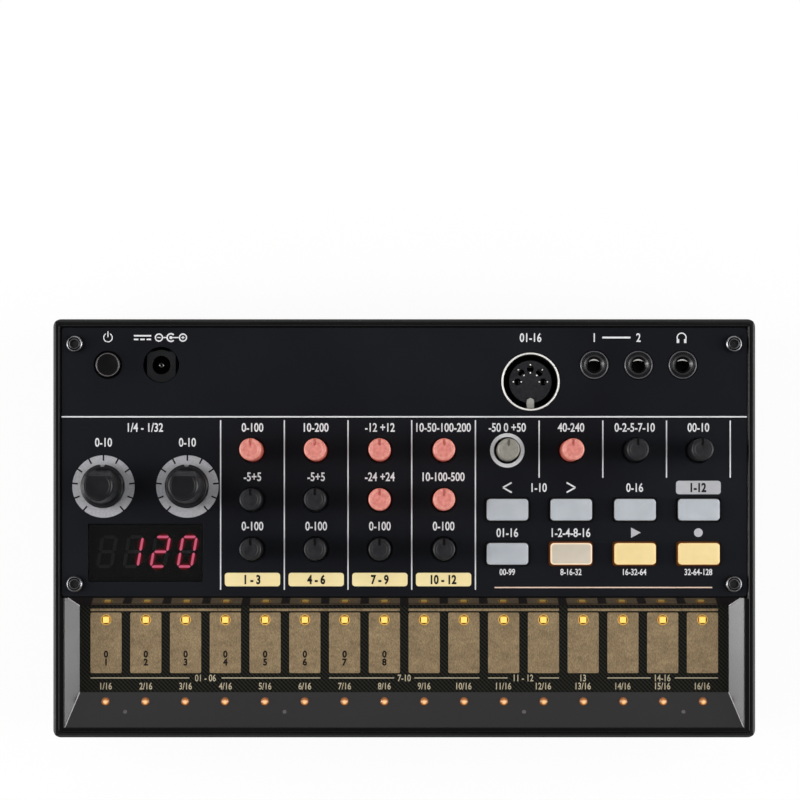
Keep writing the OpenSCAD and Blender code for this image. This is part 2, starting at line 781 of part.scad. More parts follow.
module bottom_case() {
    color(BLACK)
        difference() {
            union() {
                case_shell();
                case_supports();
            }
            translate([0, bay_y, 0])
                block(bay_w, bay_d, z_floor + door_pocket / 2, z_bay);
            door_pocket();
            grille_slots();
            bars_at(FEET, foot_r + seat_clear, z_floor - over, z_floor + foot_sink);
            bars_at(PANEL_SCREWS, screw_r + screw_clear,
                z_panel_top - panel_screw_l - over, z_frame + over);
            bars_at(CASE_SCREWS, pan_head_r + seat_clear, z_floor - over, z_case_head);
            bars_at(CASE_SCREWS, screw_r + screw_clear, z_case_head - over, z_frame + over);
            bars_at(JACK_BOARD_SCREWS, screw_r + screw_clear,
                z_jack_top - board_screw_l - over / 4, z_jack_board + over);
            bars_at(MAIN_BOARD_SCREWS, screw_r + screw_clear, z_bay - over, z_board + over);
        }
}

module touch_recess() {
    intersection() {
        rotate([90, 0, 90])
            translate([0, 0, -case_w])
                linear_extrude(2 * case_w)
                    polygon([
                        [y_win_rear, z_frame - over],
                        [y_win_front, z_frame - over],
                        [y_win_front, z_frame],
                        [y_bevel, z_bevel],
                        [y_bevel, z_top + over],
                        [y_step, z_top + over],
                        [y_step, z_panel],
                        [y_win_rear, z_frame]
                    ]);
        rotate([90, 0, 0])
            translate([0, 0, -case_d])
                linear_extrude(2 * case_d)
                    polygon([
                        [-win_x, z_frame - over],
                        [win_x, z_frame - over],
                        [win_x, z_frame],
                        [bevel_x, z_bevel],
                        [bevel_x, z_top + over],
                        [-bevel_x, z_top + over],
                        [-bevel_x, z_bevel],
                        [-win_x, z_frame]
                    ]);
    }
}

module panel_opening() {
    opening_w = panel_w - 2 * ledge_w;
    opening_front = y_panel_front + bridge_w;
    difference() {
        translate([-opening_w / 2, opening_front, z_frame - over])
            cube([opening_w, y_panel_rear - ledge_w - opening_front, wall_drop + 2 * over]);
        bars_at(PANEL_SCREWS, boss_r + panel_gap, z_frame - 2 * over, z_panel + 2 * over);
    }
}

module top_frame() {
    color([0.16, 0.16, 0.17])
        difference() {
            slab(frame_w, frame_d, frame_corner_r, z_frame, z_top);
            panel_opening();
            translate([-panel_w / 2 - panel_gap, y_step, z_panel])
                cube([panel_w + 2 * panel_gap, y_panel_rear + panel_gap - y_step,
                    z_top - z_panel + over]);
            touch_recess();
            bars_at(PANEL_SCREWS, screw_r + screw_pass, z_frame - over, z_panel + over);
            bars_at(CASE_SCREWS, screw_r + screw_clear,
                z_frame - over, z_frame + case_screw_bite + pilot_room);
            bars_at([for (i = [0:pad_count - 1]) [pad_x_at(i), y_lamps]],
                lamp_r + lamp_clear, z_frame - over, z_top);
        }
}

module control_panel() {
    color([0.11, 0.11, 0.125])
        difference() {
            translate([0, (y_panel_rear + y_panel_front) / 2, 0])
                slab(panel_w, panel_d, panel_corner_r, z_panel, z_panel_top);
            bars_at(POTS, knob_hole_r, z_panel - over, z_panel_top + over);
            bars_at(PANEL_SCREWS, screw_r + screw_pass, z_panel - over, z_panel_top + over);
            bars_at([for (i = [0:jack_count - 1]) jack_at(i)], nose_hole_r,
                z_panel - over, z_panel_top + over);
            bars_at([[power_x, y_jacks]], power_hole_r, z_panel - over, z_panel_top + over);
            bars_at([[dc_x, y_jacks]], dc_hole_r, z_panel - over, z_panel_top + over);
            bars_at([[din_x, y_din]], din_r + din_gap, z_panel - over, z_panel_top + over);
            for (i = [0:7])
                translate(button_at(i))
                    slab(button_w + 2 * button_gap, button_d + 2 * button_gap,
                        button_corner_r + button_gap, z_panel - over, z_panel_top + over);
            translate([left_block_x, y_display, 0])
                block(window_w + 2 * window_gap, window_d + 2 * window_gap,
                    z_panel - over, z_panel_top + over);
        }
}

module touch_plate() {
    front = y_win_front - plate_front_lap;
    color([0.06, 0.06, 0.065])
        difference() {
            translate([-win_x - plate_lap, front, z_plate])
                cube([2 * (win_x + plate_lap), y_win_rear + plate_lap - front, plate_t]);
            bars_at([for (i = [0:pad_count - 1]) [pad_x_at(i), y_leds]], led_hole_r,
                z_plate - over, z_frame + over);
        }
}

module step_pads() {
    group_w = (pads_per_bar - 1) * pad_pitch + pad_w;
    color([0.62, 0.53, 0.41]) {
        for (i = [0:pad_count - 1])
            translate([pad_x_at(i), y_pads, 0])
                difference() {
                    slab(pad_w, pad_d, pad_corner_r, z_frame, z_frame + pad_t);
                    translate([0, y_leds - y_pads, 0])
                        bar(led_hole_r, z_frame - over, z_frame + over);
                }
        for (i = [0:pad_count / pads_per_bar - 1])
            translate([bar_x_at(i), y_bars, 0])
                block(group_w, bar_d, z_frame, z_frame + pad_t);
    }
}

module step_leds() {
    color([1, 0.85, 0.35])
        for (i = [0:pad_count - 1])
            translate([pad_x_at(i), y_leds, 0])
                block(led_w, led_w, z_frame - led_sink - led_h, z_frame - led_sink);
}

module bevel_lenses() {
    rise = bevel_z(y_lamps + lamp_r) - z_frame + lamp_r;
    ball = (lamp_r * lamp_r + lamp_dome * lamp_dome) / (2 * lamp_dome);
    color([0.95, 0.6, 0.2])
        for (i = [0:pad_count - 1])
            translate([pad_x_at(i), y_lamps, z_frame])
                intersection() {
                    cylinder(r = lamp_r, h = rise + lamp_dome);
                    union() {
                        translate([-2 * lamp_r, -2 * lamp_r, 0])
                            cube([4 * lamp_r, 4 * lamp_r, rise]);
                        translate([0, 0, rise + lamp_dome - ball])
                            sphere(ball);
                    }
                }
}

module display_window() {
    color([0.03, 0.03, 0.03])
        translate([left_block_x, y_display, 0])
            block(window_w, window_d, z_panel, z_panel + window_t);
}

module display_module() {
    color([0.2, 0.2, 0.2])
        translate([left_block_x, y_display, 0])
            block(module_w, module_d, z_board_top, z_panel);
}

module main_board() {
    board_w = in_w - 2 * board_side_gap;
    color([0.1, 0.3, 0.18])
        difference() {
            translate([-board_w / 2, y_board_front, z_board])
                cube([board_w, y_board_rear - y_board_front, board_t]);
            bars_at(PANEL_SCREWS, boss_r + board_boss_gap, z_board - over, z_board_top + over);
            bars_at(MAIN_BOARD_SCREWS, screw_r + screw_pass, z_board - over, z_board_top + over);
        }
}

module jack_board() {
    board_w = 2 * (screw_x - boss_r - board_boss_gap);
    color([0.1, 0.3, 0.18])
        difference() {
            translate([-board_w / 2, y_jack_board, z_jack_board])
                cube([board_w, jack_board_d, board_t]);
            bars_at(JACK_BOARD_SCREWS, screw_r + screw_pass,
                z_jack_board - over, z_jack_top + over);
        }
}

module board_links() {
    mid = y_board_rear + board_split / 2;
    color([0.75, 0.75, 0.72]) {
        translate([0, y_win_rear - header_d / 2, 0])
            block(header_w, header_d, z_board_top, z_plate);
        translate([ribbon_x - ribbon_w / 2, 0, 0])
            rotate([90, 0, 90])
                linear_extrude(ribbon_w)
                    polygon([
                        [y_board_rear - ribbon_lap, z_board_top],
                        [mid - ribbon_t / 2, z_board_top],
                        [mid - ribbon_t / 2, z_jack_top],
                        [y_jack_board + ribbon_lap, z_jack_top],
                        [y_jack_board + ribbon_lap, z_jack_top + ribbon_t],
                        [mid + ribbon_t / 2, z_jack_top + ribbon_t],
                        [mid + ribbon_t / 2, z_board_top + ribbon_t],
                        [y_board_rear - ribbon_lap, z_board_top + ribbon_t]
                    ]);
    }
}

module pot_bodies() {
    color([0.25, 0.3, 0.35])
        for (p = POTS)
            translate(p)
                difference() {
                    block(pot_w, pot_d, z_board_top, z_board_top + pot_h);
                    bar(knob_r + shaft_clear, z_board_top - over, z_board_top + pot_h + over);
                }
}

module knob_leds() {
    color([1, 0.5, 0.4])
        for (i = LIT_KNOBS)
            translate(knob_at(i))
                block(chip_w, chip_d, z_board_top, z_board_top + chip_h);
}

module push_switch(z0, height) {
    difference() {
        block(switch_w, switch_w, z0, z0 + height);
        bar(stem_r + stem_clear, z0 + height - switch_well, z0 + height + over);
    }
}

module button_switches() {
    color([0.35, 0.35, 0.35]) {
        for (i = [0:7])
            translate(button_at(i))
                push_switch(z_board_top, switch_h);
        translate([power_x, y_jacks])
            push_switch(z_jack_top, power_switch_h);
    }
}

module din_shell() {
    inner = din_r - din_shell_t;
    color([0.75, 0.75, 0.75])
        translate([din_x, y_din, 0]) {
            difference() {
                bar(din_r, z_jack_top, z_panel_top + din_stand);
                bar(inner, z_jack_top - over, z_panel_top + din_stand + over);
            }
            difference() {
                bar(inner + din_shell_t / 2, z_jack_top + din_base_h, z_panel_top - din_sink);
                bar(inner - din_key_l, z_jack_top, z_panel_top);
                translate([-din_key_w / 2 - 2 * din_r, -2 * din_r, z_jack_top])
                    cube([2 * din_r, 4 * din_r, z_panel_top - z_jack_top]);
                translate([din_key_w / 2, -2 * din_r, z_jack_top])
                    cube([2 * din_r, 4 * din_r, z_panel_top - z_jack_top]);
                translate([-din_r, 0, z_jack_top])
                    cube([2 * din_r, 2 * din_r, z_panel_top - z_jack_top]);
            }
        }
}

module din_insert() {
    inner = din_r - din_shell_t;
    color([0.14, 0.14, 0.14])
        translate([din_x, y_din, 0])
            difference() {
                union() {
                    bar(inner - tube_clear, z_jack_top, z_jack_top + din_base_h);
                    bar(din_insert_r, z_jack_top + din_base_h / 2, z_panel_top - din_sink);
                }
                for (a = [0:45:180])
                    rotate(a)
                        translate([din_pcd_r, 0, 0])
                            bar(din_tube_r + tube_clear, z_jack_top + din_base_h, z_panel_top);
                translate([-din_key_w / 2 - tube_clear, -2 * din_r, z_jack_top + din_base_h])
                    cube([din_key_w + 2 * tube_clear, 2 * din_r - inner + din_key_l + din_gap,
                        z_panel_top - z_jack_top]);
            }
}

module din_contacts() {
    color([0.8, 0.78, 0.7])
        translate([din_x, y_din, 0])
            for (a = [0:45:180])
                rotate(a)
                    translate([din_pcd_r, 0, 0])
                        difference() {
                            bar(din_tube_r, z_jack_top + din_base_h, z_panel_top - din_sink);
                            bar(din_pin_r, z_jack_top + din_base_h + over, z_panel_top);
                        }
}

module phone_jacks() {
    nose_top = z_panel_top + nose_stand;
    color([0.12, 0.12, 0.12])
        for (i = [0:jack_count - 1])
            translate(jack_at(i))
                difference() {
                    union() {
                        block(jack_body_w, jack_body_w, z_jack_top, z_jack_top + jack_body_h);
                        bar(nose_r, z_jack_top + jack_body_h - over, nose_top);
                    }
                    bar(jack_bore_r, nose_top - jack_mouth_l - jack_bore_l, nose_top + over);
                    translate([0, 0, nose_top - jack_mouth_l])
                        cylinder(r1 = jack_bore_r, r2 = jack_mouth_r, h = jack_mouth_l + skin);
                }
}

module dc_socket() {
    face = z_panel_top - dc_sink;
    color([0.12, 0.12, 0.12])
        translate([dc_x, y_jacks, 0])
            difference() {
                union() {
                    block(jack_body_w, jack_body_w, z_jack_top, z_jack_top + jack_body_h - over);
                    intersection() {
                        bar(dc_collar_r, z_jack_top + over, face);
                        block(2 * dc_flat, 2 * dc_collar_r, z_jack_top, face + over);
                    }
                }
                bar(dc_bore_r, face - dc_bore_l, face + over);
            }
}

module dc_pin() {
    face = z_panel_top - dc_sink;
    color([0.8, 0.8, 0.8])
        translate([dc_x, y_jacks, 0]) {
            bar(dc_pin_r, face - dc_bore_l, face - dc_pin_sink);
            translate([0, 0, face - dc_pin_sink])
                sphere(dc_pin_r);
        }
}

module panel_screws() {
    color([0.2, 0.2, 0.2])
        for (p = PANEL_SCREWS)
            translate([p[0], p[1], z_panel_top])
                difference() {
                    union() {
                        bar(head_r, 0, head_h);
                        bar(screw_r, -panel_screw_l, head_h / 2);
                    }
                    translate([0, 0, head_h - hex_d])
                        cylinder(r = hex_af / sqrt(3), h = hex_d + over, $fn = 6);
                }
}

// A round-headed screw that points up, with a cross slot in its head
module pan_screw(length) {
    difference() {
        union() {
            bar(screw_r, -pan_head_h / 2, length);
            bar(pan_head_r, -pan_head_h, 0);
        }
        block(2 * screw_r, cross_w, -pan_head_h - over, -pan_head_h / 2);
        block(cross_w, 2 * screw_r, -pan_head_h - over, -pan_head_h / 2);
    }
}

module case_screws() {
    color([0.3, 0.3, 0.3])
        for (p = CASE_SCREWS)
            translate([p[0], p[1], z_case_head])
                pan_screw(case_screw_l);
}

module board_screws() {
    color([0.7, 0.7, 0.7]) {
        for (p = MAIN_BOARD_SCREWS)
            translate([p[0], p[1], z_board_top])
                mirror([0, 0, 1])
                    pan_screw(board_screw_l);
        for (p = JACK_BOARD_SCREWS)
            translate([p[0], p[1], z_jack_top])
                mirror([0, 0, 1])
                    pan_screw(board_screw_l);
    }
}

module rubber_feet() {
    color([0.05, 0.05, 0.05])
        bars_at(FEET, foot_r, 0, z_floor + foot_sink);
}

module speaker_basket() {
    back_r = magnet_r + basket_t;
    inner_r = speaker_r - speaker_flange_w;
    color([0.3, 0.3, 0.32])
        translate([speaker_x, speaker_y, z_in + cone_t])
            rotate_extrude()
                polygon([
                    [inner_r, 0],
                    [speaker_r, 0],
                    [speaker_r, speaker_flange_t],
                    [inner_r + basket_t, speaker_flange_t],
                    [back_r, basket_h],
                    [0, basket_h],
                    [0, basket_h - basket_t],
                    [back_r - basket_t, basket_h - basket_t]
                ]);
}

module speaker_cone() {
    inner_r = speaker_r - speaker_flange_w;
    color([0.15, 0.14, 0.13])
        translate([speaker_x, speaker_y, z_in])
            rotate_extrude()
                polygon([
                    [inner_r - cone_t, 0],
                    [speaker_r, 0],
                    [speaker_r, cone_t],
                    [inner_r, cone_t],
                    [cone_cap_r, cone_d + cone_t],
                    [0, cone_d + cone_t],
                    [0, cone_d],
                    [cone_cap_r - cone_t, cone_d]
                ]);
}

module speaker_magnet() {
    color([0.4, 0.4, 0.42])
        translate([speaker_x, speaker_y, 0])
            bar(magnet_r, z_in + cone_t + basket_h, z_in + cone_t + basket_h + magnet_h);
}

module battery_cells() {
    start = contact_room / 2;
    color([0.2, 0.35, 0.55])
        for (row = [-1:1], side = [0, 1])
            translate([0, bay_y + row * (cell_d + cell_gap), z_cell])
                mirror([side, 0, 0])
                    rotate([0, 90, 0]) {
                        bar(cell_d / 2, start, start + cell_l);
                        bar(nub_r, start + cell_l / 2, start + cell_l + nub_h);
                    }
}

module battery_contacts() {
    half = contact_w / 2;
    end_tip = contact_room - contact_gap;
    mid_tip = contact_room / 2 - contact_gap;
    color([0.75, 0.75, 0.75])
        for (row = [-1:1])
            translate([0, bay_y + row * (cell_d + cell_gap), z_cell]) {
                for (side = [0, 1])
                    mirror([side, 0, 0])
                        translate([bay_w / 2, 0, 0])
                            rotate([0, -90, 0]) {
                                block(contact_w, contact_w, 0, contact_t);
                                translate([0, 0, contact_t / 2])
                                    cylinder(r1 = half - 1, r2 = nub_r, h = end_tip - contact_t / 2);
                            }
                translate([-contact_t / 2, -half, -half])
                    cube([contact_t, contact_w, z_bay - z_cell + half]);
                rotate([0, 90, 0])
                    translate([0, 0, -mid_tip])
                        cylinder(r = nub_r, h = 2 * mid_tip);
            }
}

module battery_door() {
    color([0.12, 0.12, 0.12])
        difference() {
            union() {
                translate([0, bay_y, 0])
                    block(door_w, door_d, z_floor, z_floor + door_t);
                translate([0, bay_y, 0])
                    block(2 * door_x, door_d, z_floor + door_t - tongue_t, z_floor + door_t);
            }
            for (i = [0:grip_count - 1])
                translate([0, bay_y - door_d / 2 + grip_inset + i * grip_pitch, 0])
                    block(grip_l, grip_w, z_floor - over, z_floor + grip_d);
        }
}

// A small knob: the turning shaft of its pot, with a pointer notch in its end
module small_knob(i) {
    foot = z_board_top + shaft_room;
    end = z_panel_top + knob_stand;
    color(KNOB_COLOURS[i])
        translate(knob_at(i))
            difference() {
                union() {
                    bar(knob_r, foot, end - knob_chamfer);
                    translate([0, 0, end - knob_chamfer])
                        cylinder(r1 = knob_r, r2 = knob_r - knob_chamfer, h = knob_chamfer);
                }
                translate([-notch_w / 2, knob_r - notch_l, end - notch_d])
                    cube([notch_w, notch_l + over, notch_d + over]);
            }
}

module dial(i) {
    foot = z_panel_top + dial_lift;
    end = z_panel_top + dial_stand;
    color(BLACK)
        translate(dial_at(i))
            difference() {
                rotate_extrude()
                    polygon([
                        [0, foot],
                        [dial_skirt_r, foot],
                        [dial_skirt_r, foot + dial_skirt_h - dial_skirt_edge],
                        [dial_skirt_r - dial_skirt_edge, foot + dial_skirt_h],
                        [dial_grip_r, foot + dial_skirt_h],
                        [dial_top_r, end - dial_edge],
                        [dial_top_r - dial_edge, end],
                        [0, end]
                    ]);
                bar(knob_r + dial_clear, foot - over, z_panel_top + dial_shaft_stand);
                translate([0, dial_skirt_r, 0])
                    bar(dial_notch_r, foot - over, foot + dial_skirt_h + over);
                translate([-dial_skirt_r, 0, 0])
                    rotate([90, 0, 90])
                        linear_extrude(2 * dial_skirt_r)
                            polygon([
                                [dial_flat_foot, foot + dial_skirt_h],
                                [2 * dial_skirt_r, foot + dial_skirt_h],
                                [2 * dial_skirt_r, end + over],
                                [dial_flat_top, end + over],
                                [dial_flat_top, end]
                            ]);
            }
}

module dial_shaft(i) {
    color([0.7, 0.7, 0.7])
        translate(dial_at(i))
            bar(knob_r, z_board_top + shaft_room, z_panel_top + dial_shaft_stand);
}

module button(i) {
    foot = z_panel - flange_gap - flange_t;
    color(BUTTON_COLOURS[i])
        translate(button_at(i)) {
            slab(button_w, button_d, button_corner_r, foot, z_panel_top + button_stand);
            slab(button_w + 2 * flange_w, button_d + 2 * flange_w,
                button_corner_r, foot, foot + flange_t);
            bar(stem_r, z_board_top + switch_h - stem_dip, foot + flange_t / 2);
        }
}

module power_button() {
    foot = z_panel - flange_gap - flange_t;
    color([0.14, 0.14, 0.14])
        translate([power_x, y_jacks, 0]) {
            bar(power_r, foot, z_panel_top + power_stand);
            bar(power_hole_r + flange_w, foot, foot + flange_t);
            bar(stem_r, z_jack_top + power_switch_h - stem_dip, foot + flange_t / 2);
        }
}

bottom_case();
top_frame();
control_panel();
touch_plate();
step_pads();
step_leds();
bevel_lenses();
display_window();
display_module();
main_board();
jack_board();
board_links();
pot_bodies();
knob_leds();
button_switches();
din_shell();
din_insert();
din_contacts();
phone_jacks();
dc_socket();
dc_pin();
panel_screws();
case_screws();
board_screws();
rubber_feet();
speaker_basket();
speaker_cone();
speaker_magnet();
battery_cells();
battery_contacts();
battery_door();
for (i = [0:15]) small_knob(i);
for (i = [0:1]) dial(i);
for (i = [0:1]) dial_shaft(i);
for (i = [0:7]) button(i);
power_button();
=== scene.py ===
import math

import bmesh
import bpy
from mathutils import Matrix, Vector


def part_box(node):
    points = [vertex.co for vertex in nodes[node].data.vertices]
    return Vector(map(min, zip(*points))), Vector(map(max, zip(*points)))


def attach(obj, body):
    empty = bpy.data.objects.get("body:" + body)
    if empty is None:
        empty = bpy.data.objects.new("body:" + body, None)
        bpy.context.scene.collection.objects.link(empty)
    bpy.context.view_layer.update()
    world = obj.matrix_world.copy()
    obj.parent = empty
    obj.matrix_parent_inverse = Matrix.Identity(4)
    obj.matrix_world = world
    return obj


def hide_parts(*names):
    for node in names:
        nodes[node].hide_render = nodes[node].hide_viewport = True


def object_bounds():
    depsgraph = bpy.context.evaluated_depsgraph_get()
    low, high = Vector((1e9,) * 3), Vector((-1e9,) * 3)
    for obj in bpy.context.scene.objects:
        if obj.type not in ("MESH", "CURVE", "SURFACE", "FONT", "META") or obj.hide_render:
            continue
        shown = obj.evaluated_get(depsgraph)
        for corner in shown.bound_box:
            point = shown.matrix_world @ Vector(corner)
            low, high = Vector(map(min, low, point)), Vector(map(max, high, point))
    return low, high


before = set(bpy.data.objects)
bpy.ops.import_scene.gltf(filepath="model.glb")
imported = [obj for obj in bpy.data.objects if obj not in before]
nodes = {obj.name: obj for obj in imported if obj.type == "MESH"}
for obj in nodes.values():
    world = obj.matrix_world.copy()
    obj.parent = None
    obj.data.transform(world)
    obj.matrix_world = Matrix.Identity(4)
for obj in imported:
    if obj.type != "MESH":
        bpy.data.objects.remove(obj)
cadLow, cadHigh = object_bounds()
mm = 0.001  # the scene is in metres, the sizes below are written in millimetres
origin = Vector((0, 0, 0))
print("frame loaded with", len(nodes), "nodes")


def sized(**sizes):
    # lengths in millimetres, alone or in tuples, as metres
    return {name: tuple(part * mm for part in size) if isinstance(size, tuple) else size * mm
            for name, size in sizes.items()}


# Places taken from the frame

def middleOf(node):
    low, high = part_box(node)
    return (low + high) / 2


panelLow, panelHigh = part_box("control_panel")
panelTop = panelHigh.z
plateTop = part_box("touch_plate")[1].z
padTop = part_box("step_pads")[1].z
knobNames = [n for n in nodes if n.endswith("_knob")]
dialNames = [n for n in nodes if n.endswith("_dial")]
buttonRows = [
    ["part_down_button", "part_up_button", "mute_button", "function_button"],
    ["memory_button", "step_button", "play_button", "record_button"],
]
buttonNames = buttonRows[0] + buttonRows[1]
columnX = [middleOf(n + "_knob").x for n in (
    "kick_click", "snare_snap", "tom_high", "hat_closed", "speed", "tempo", "level", "volume")]
columnStep = columnX[1] - columnX[0]
buttonY = [middleOf(row[0]).y for row in buttonRows]


# Mesh tools

meshSettings = {
    "smooth": 35,  # degrees: sharper edges than this stay sharp in shade
    "sharp": 30,  # degrees: sharper edges than this are rounded on a copy of a solid
    "flat": 0.5,  # degrees: faces that bend less than this become one
    "weld": 1e-6,
    "fineWeld": 1e-7,
    "softShare": 0.48,  # of a side, the most that a rounded corner takes
}


def linked(name, data):
    obj = bpy.data.objects.new(name, data)
    bpy.context.scene.collection.objects.link(obj)
    return obj


def baked(obj, *tools):
    # the mesh that an object comes to, which then leaves the scene with its tools
    deps = bpy.context.evaluated_depsgraph_get()
    made = bpy.data.meshes.new_from_object(obj.evaluated_get(deps))
    for used in (obj, *tools):
        bpy.data.objects.remove(used)
    return made


def modified(obj, kind, **values):
    modifier = obj.modifiers.new(kind, kind)
    for name, value in values.items():
        setattr(modifier, name, value)
    return modifier


def plainMesh(bm, name="made"):
    mesh = bpy.data.meshes.new(name)
    bm.to_mesh(mesh)
    bm.free()
    return mesh


def meshOf(bm):
    bmesh.ops.recalc_face_normals(bm, faces=bm.faces)
    return plainMesh(bm)


def joined(*meshes):
    bm = bmesh.new()
    for mesh in meshes:
        bm.from_mesh(mesh)
    return plainMesh(bm)


def welded(mesh):
    bm = bmesh.new()
    bm.from_mesh(mesh)
    bmesh.ops.remove_doubles(bm, verts=bm.verts, dist=meshSettings["fineWeld"])
    return meshOf(bm)


def evenNormals(mesh):
    # broad faces stay flat in shade, and only the rounded edges turn the light
    mesh.shade_smooth()
    mesh.set_sharp_from_angle(angle=math.radians(meshSettings["smooth"]))
    obj = linked("even", mesh)
    modified(obj, "WEIGHTED_NORMAL", keep_sharp=True)
    modified(obj, "TRIANGULATE", keep_custom_normals=True)  # bent-in faces then read the same everywhere
    return baked(obj)


def addPiece(name, rawMesh, material, stands=(), body="case"):
    mesh = evenNormals(rawMesh)
    mesh.name = name
    obj = linked(name, mesh)
    mesh.materials.clear()
    mesh.materials.append(material)
    mesh.polygons.foreach_set("material_index", [0] * len(mesh.polygons))
    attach(obj, body)
    if stands:
        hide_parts(*stands)
    return obj


def softProfile(points, steps=4):
    # each point is (radius, height, how far its corner is rounded), in metres
    made = []
    for i, (radius, height, soft) in enumerate(points):
        if soft == 0 or i in (0, len(points) - 1):
            made.append((radius, height))
            continue
        here = Vector((radius, height))
        back = Vector(points[i - 1][:2]) - here
        ahead = Vector(points[i + 1][:2]) - here
        share = meshSettings["softShare"]
        reach = min(soft, back.length * share, ahead.length * share)
        start = here + back.normalized() * reach
        end = here + ahead.normalized() * reach
        for k in range(steps + 1):
            t = k / steps
            made.append(tuple(start * (1 - t) ** 2 + here * 2 * t * (1 - t) + end * t * t))
    return made


def profileOf(points, **marks):
    # each point is (mark, shift out, mark, shift up, softness), its lengths in millimetres
    marks["axis"] = 0
    return softProfile([(marks[side] + out * mm, marks[level] + up * mm, soft * mm)
                        for side, out, level, up, soft in points])


def lathe(bm, profile, centre=origin, turns=72, ring=False):
    # a profile from foot to top, turned round an upright axis; ring closes it on itself
    angles = [2 * math.pi * k / turns for k in range(turns)]
    rings = []
    for radius, height in profile:
        onAxis = radius < meshSettings["fineWeld"]
        rings.append([
            bm.verts.new((centre.x + radius * math.cos(a), centre.y + radius * math.sin(a), height))
            for a in (angles[:1] if onAxis else angles)])
    pairs = list(zip(rings, rings[1:]))
    if ring:
        pairs.append((rings[-1], rings[0]))
    for low, high in pairs:
        for i in range(turns):
            j = (i + 1) % turns
            corners = [low[i % len(low)], low[j % len(low)], high[j % len(high)], high[i % len(high)]]
            bm.faces.new(list(dict.fromkeys(corners)))


def turned(profile, turns=72, centre=origin, ring=False):
    bm = bmesh.new()
    lathe(bm, profile, centre, turns, ring)
    return meshOf(bm)


def bridge(bm, rings, loop=False, lids=True):
    # walls between neighbouring rings; loop joins the last to the first, lids close both ends
    pairs = list(zip(rings, rings[1:]))
    if loop:
        pairs.append((rings[-1], rings[0]))
    for low, high in pairs:
        for i in range(len(low)):
            j = (i + 1) % len(low)
            bm.faces.new((low[i], low[j], high[j], high[i]))
    if lids and not loop:
        bm.faces.new(list(reversed(rings[0])))
        bm.faces.new(rings[-1])


def roundRect(width, depth, corner, steps=6, centre=origin):
    points = []
    for sx, sy, start in ((1, 1, 0), (-1, 1, 90), (-1, -1, 180), (1, -1, 270)):
        for k in range(steps + 1):
            a = math.radians(start + 90 * k / steps)
            points.append((
                sx * (width / 2 - corner) + corner * math.cos(a) + centre.x,
                sy * (depth / 2 - corner) + corner * math.sin(a) + centre.y))
    return points


def circlePoints(x, y, radius, steps=64):
    angles = [2 * math.pi * k / steps for k in range(steps)]
    return [(x + radius * math.cos(a), y + radius * math.sin(a)) for a in angles]


def stacked(bm, outlines):
    # outlines are (points, height, glow) from foot to top, closed at both ends
    glow = bm.verts.layers.float.get("glow") or bm.verts.layers.float.new("glow")
    rings = []
    for points, height, light in outlines:
        ring = [bm.verts.new((x, y, height)) for x, y in points]
        for vert in ring:
            vert[glow] = light
        rings.append(ring)
    bridge(bm, rings)


def loft(bm, rings, width, depth, centre=origin, **marks):
    # each ring is (how much narrower, corner, mark, shift up, glow), its lengths in millimetres
    stacked(bm, [(roundRect(width - less * mm, depth - less * mm, corner * mm, centre=centre),
                  marks[level] + up * mm, light) for less, corner, level, up, light in rings])


def slab(bm, points, low, high):
    # a flat outline with a thickness
    bridge(bm, [[bm.verts.new((x, y, z)) for x, y in points] for z in (low, high)])


def slabMesh(points, low, high):
    bm = bmesh.new()
    slab(bm, points, low, high)
    return meshOf(bm)


def stroke(bm, start, end, width, low, high):
    start, end = Vector(start), Vector(end)
    side = (end - start).normalized().orthogonal() * (width / 2)
    slab(bm, [start - side, end - side, end + side, start + side], low, high)


def arcBand(bm, centre, inner, outer, fromDeg, toDeg, low, high, steps=32):
    full = abs(toDeg - fromDeg) >= 360
    count = steps if full else steps + 1
    corners = [(inner, low), (outer, low), (outer, high), (inner, high)]
    cuts = []
    for k in range(count):
        a = math.radians(fromDeg + (toDeg - fromDeg) * k / steps)
        cuts.append([bm.verts.new((centre[0] + r * math.cos(a), centre[1] + r * math.sin(a), z))
                     for r, z in corners])
    bridge(bm, cuts, full)


def cutAway(mesh, *cutters):
    target = linked("target", mesh)
    tools = [linked("cutter", cutter) for cutter in cutters]
    for tool in tools:
        modified(target, "BOOLEAN", operation="DIFFERENCE", solver="EXACT", object=tool)
    return baked(target, *tools)


def softCopy(node, width, picked=None):
    # a copy of a frame solid with its sharp edges rounded off, all of them or those that are picked
    bm = bmesh.new()
    bm.from_mesh(nodes[node].data)
    flat = math.radians(meshSettings["flat"])
    bmesh.ops.remove_doubles(bm, verts=bm.verts, dist=meshSettings["weld"])
    bmesh.ops.dissolve_limit(bm, angle_limit=flat, verts=bm.verts, edges=bm.edges)
    weight = bm.edges.layers.float.new("bevel_weight_edge")
    for edge in bm.edges:
        if edge.calc_face_angle(0) > math.radians(meshSettings["sharp"]):
            edge[weight] = picked(edge) if picked else 1
    mesh = plainMesh(bm)
    mesh.attributes.remove(mesh.attributes["custom_normal"])  # the frame's own would spoil the sharp edges
    obj = linked("copy", mesh)
    modified(obj, "BEVEL", width=width, segments=2, limit_method="WEIGHT", use_clamp_overlap=False)
    return baked(obj)


def flatUnit(outlines, low, high, edge, resolution=0):
    # a plate of the first outline with holes of the others, its edges bevelled outwards
    curve = bpy.data.curves.new("unit", "CURVE")
    curve.dimensions = "2D"
    curve.fill_mode = "BOTH"
    for points in outlines:
        spline = curve.splines.new("POLY")
        spline.points.add(len(points) - 1)
        for spot, (x, y) in zip(spline.points, points):
            spot.co = (x, y, 0, 1)
        spline.use_cyclic_u = True
    curve.extrude = (high - low) / 2 - edge
    curve.bevel_depth = edge
    curve.bevel_resolution = resolution
    mesh = baked(linked("unit", curve))
    mesh.transform(Matrix.Translation((0, 0, (low + high) / 2)))
    return welded(mesh)


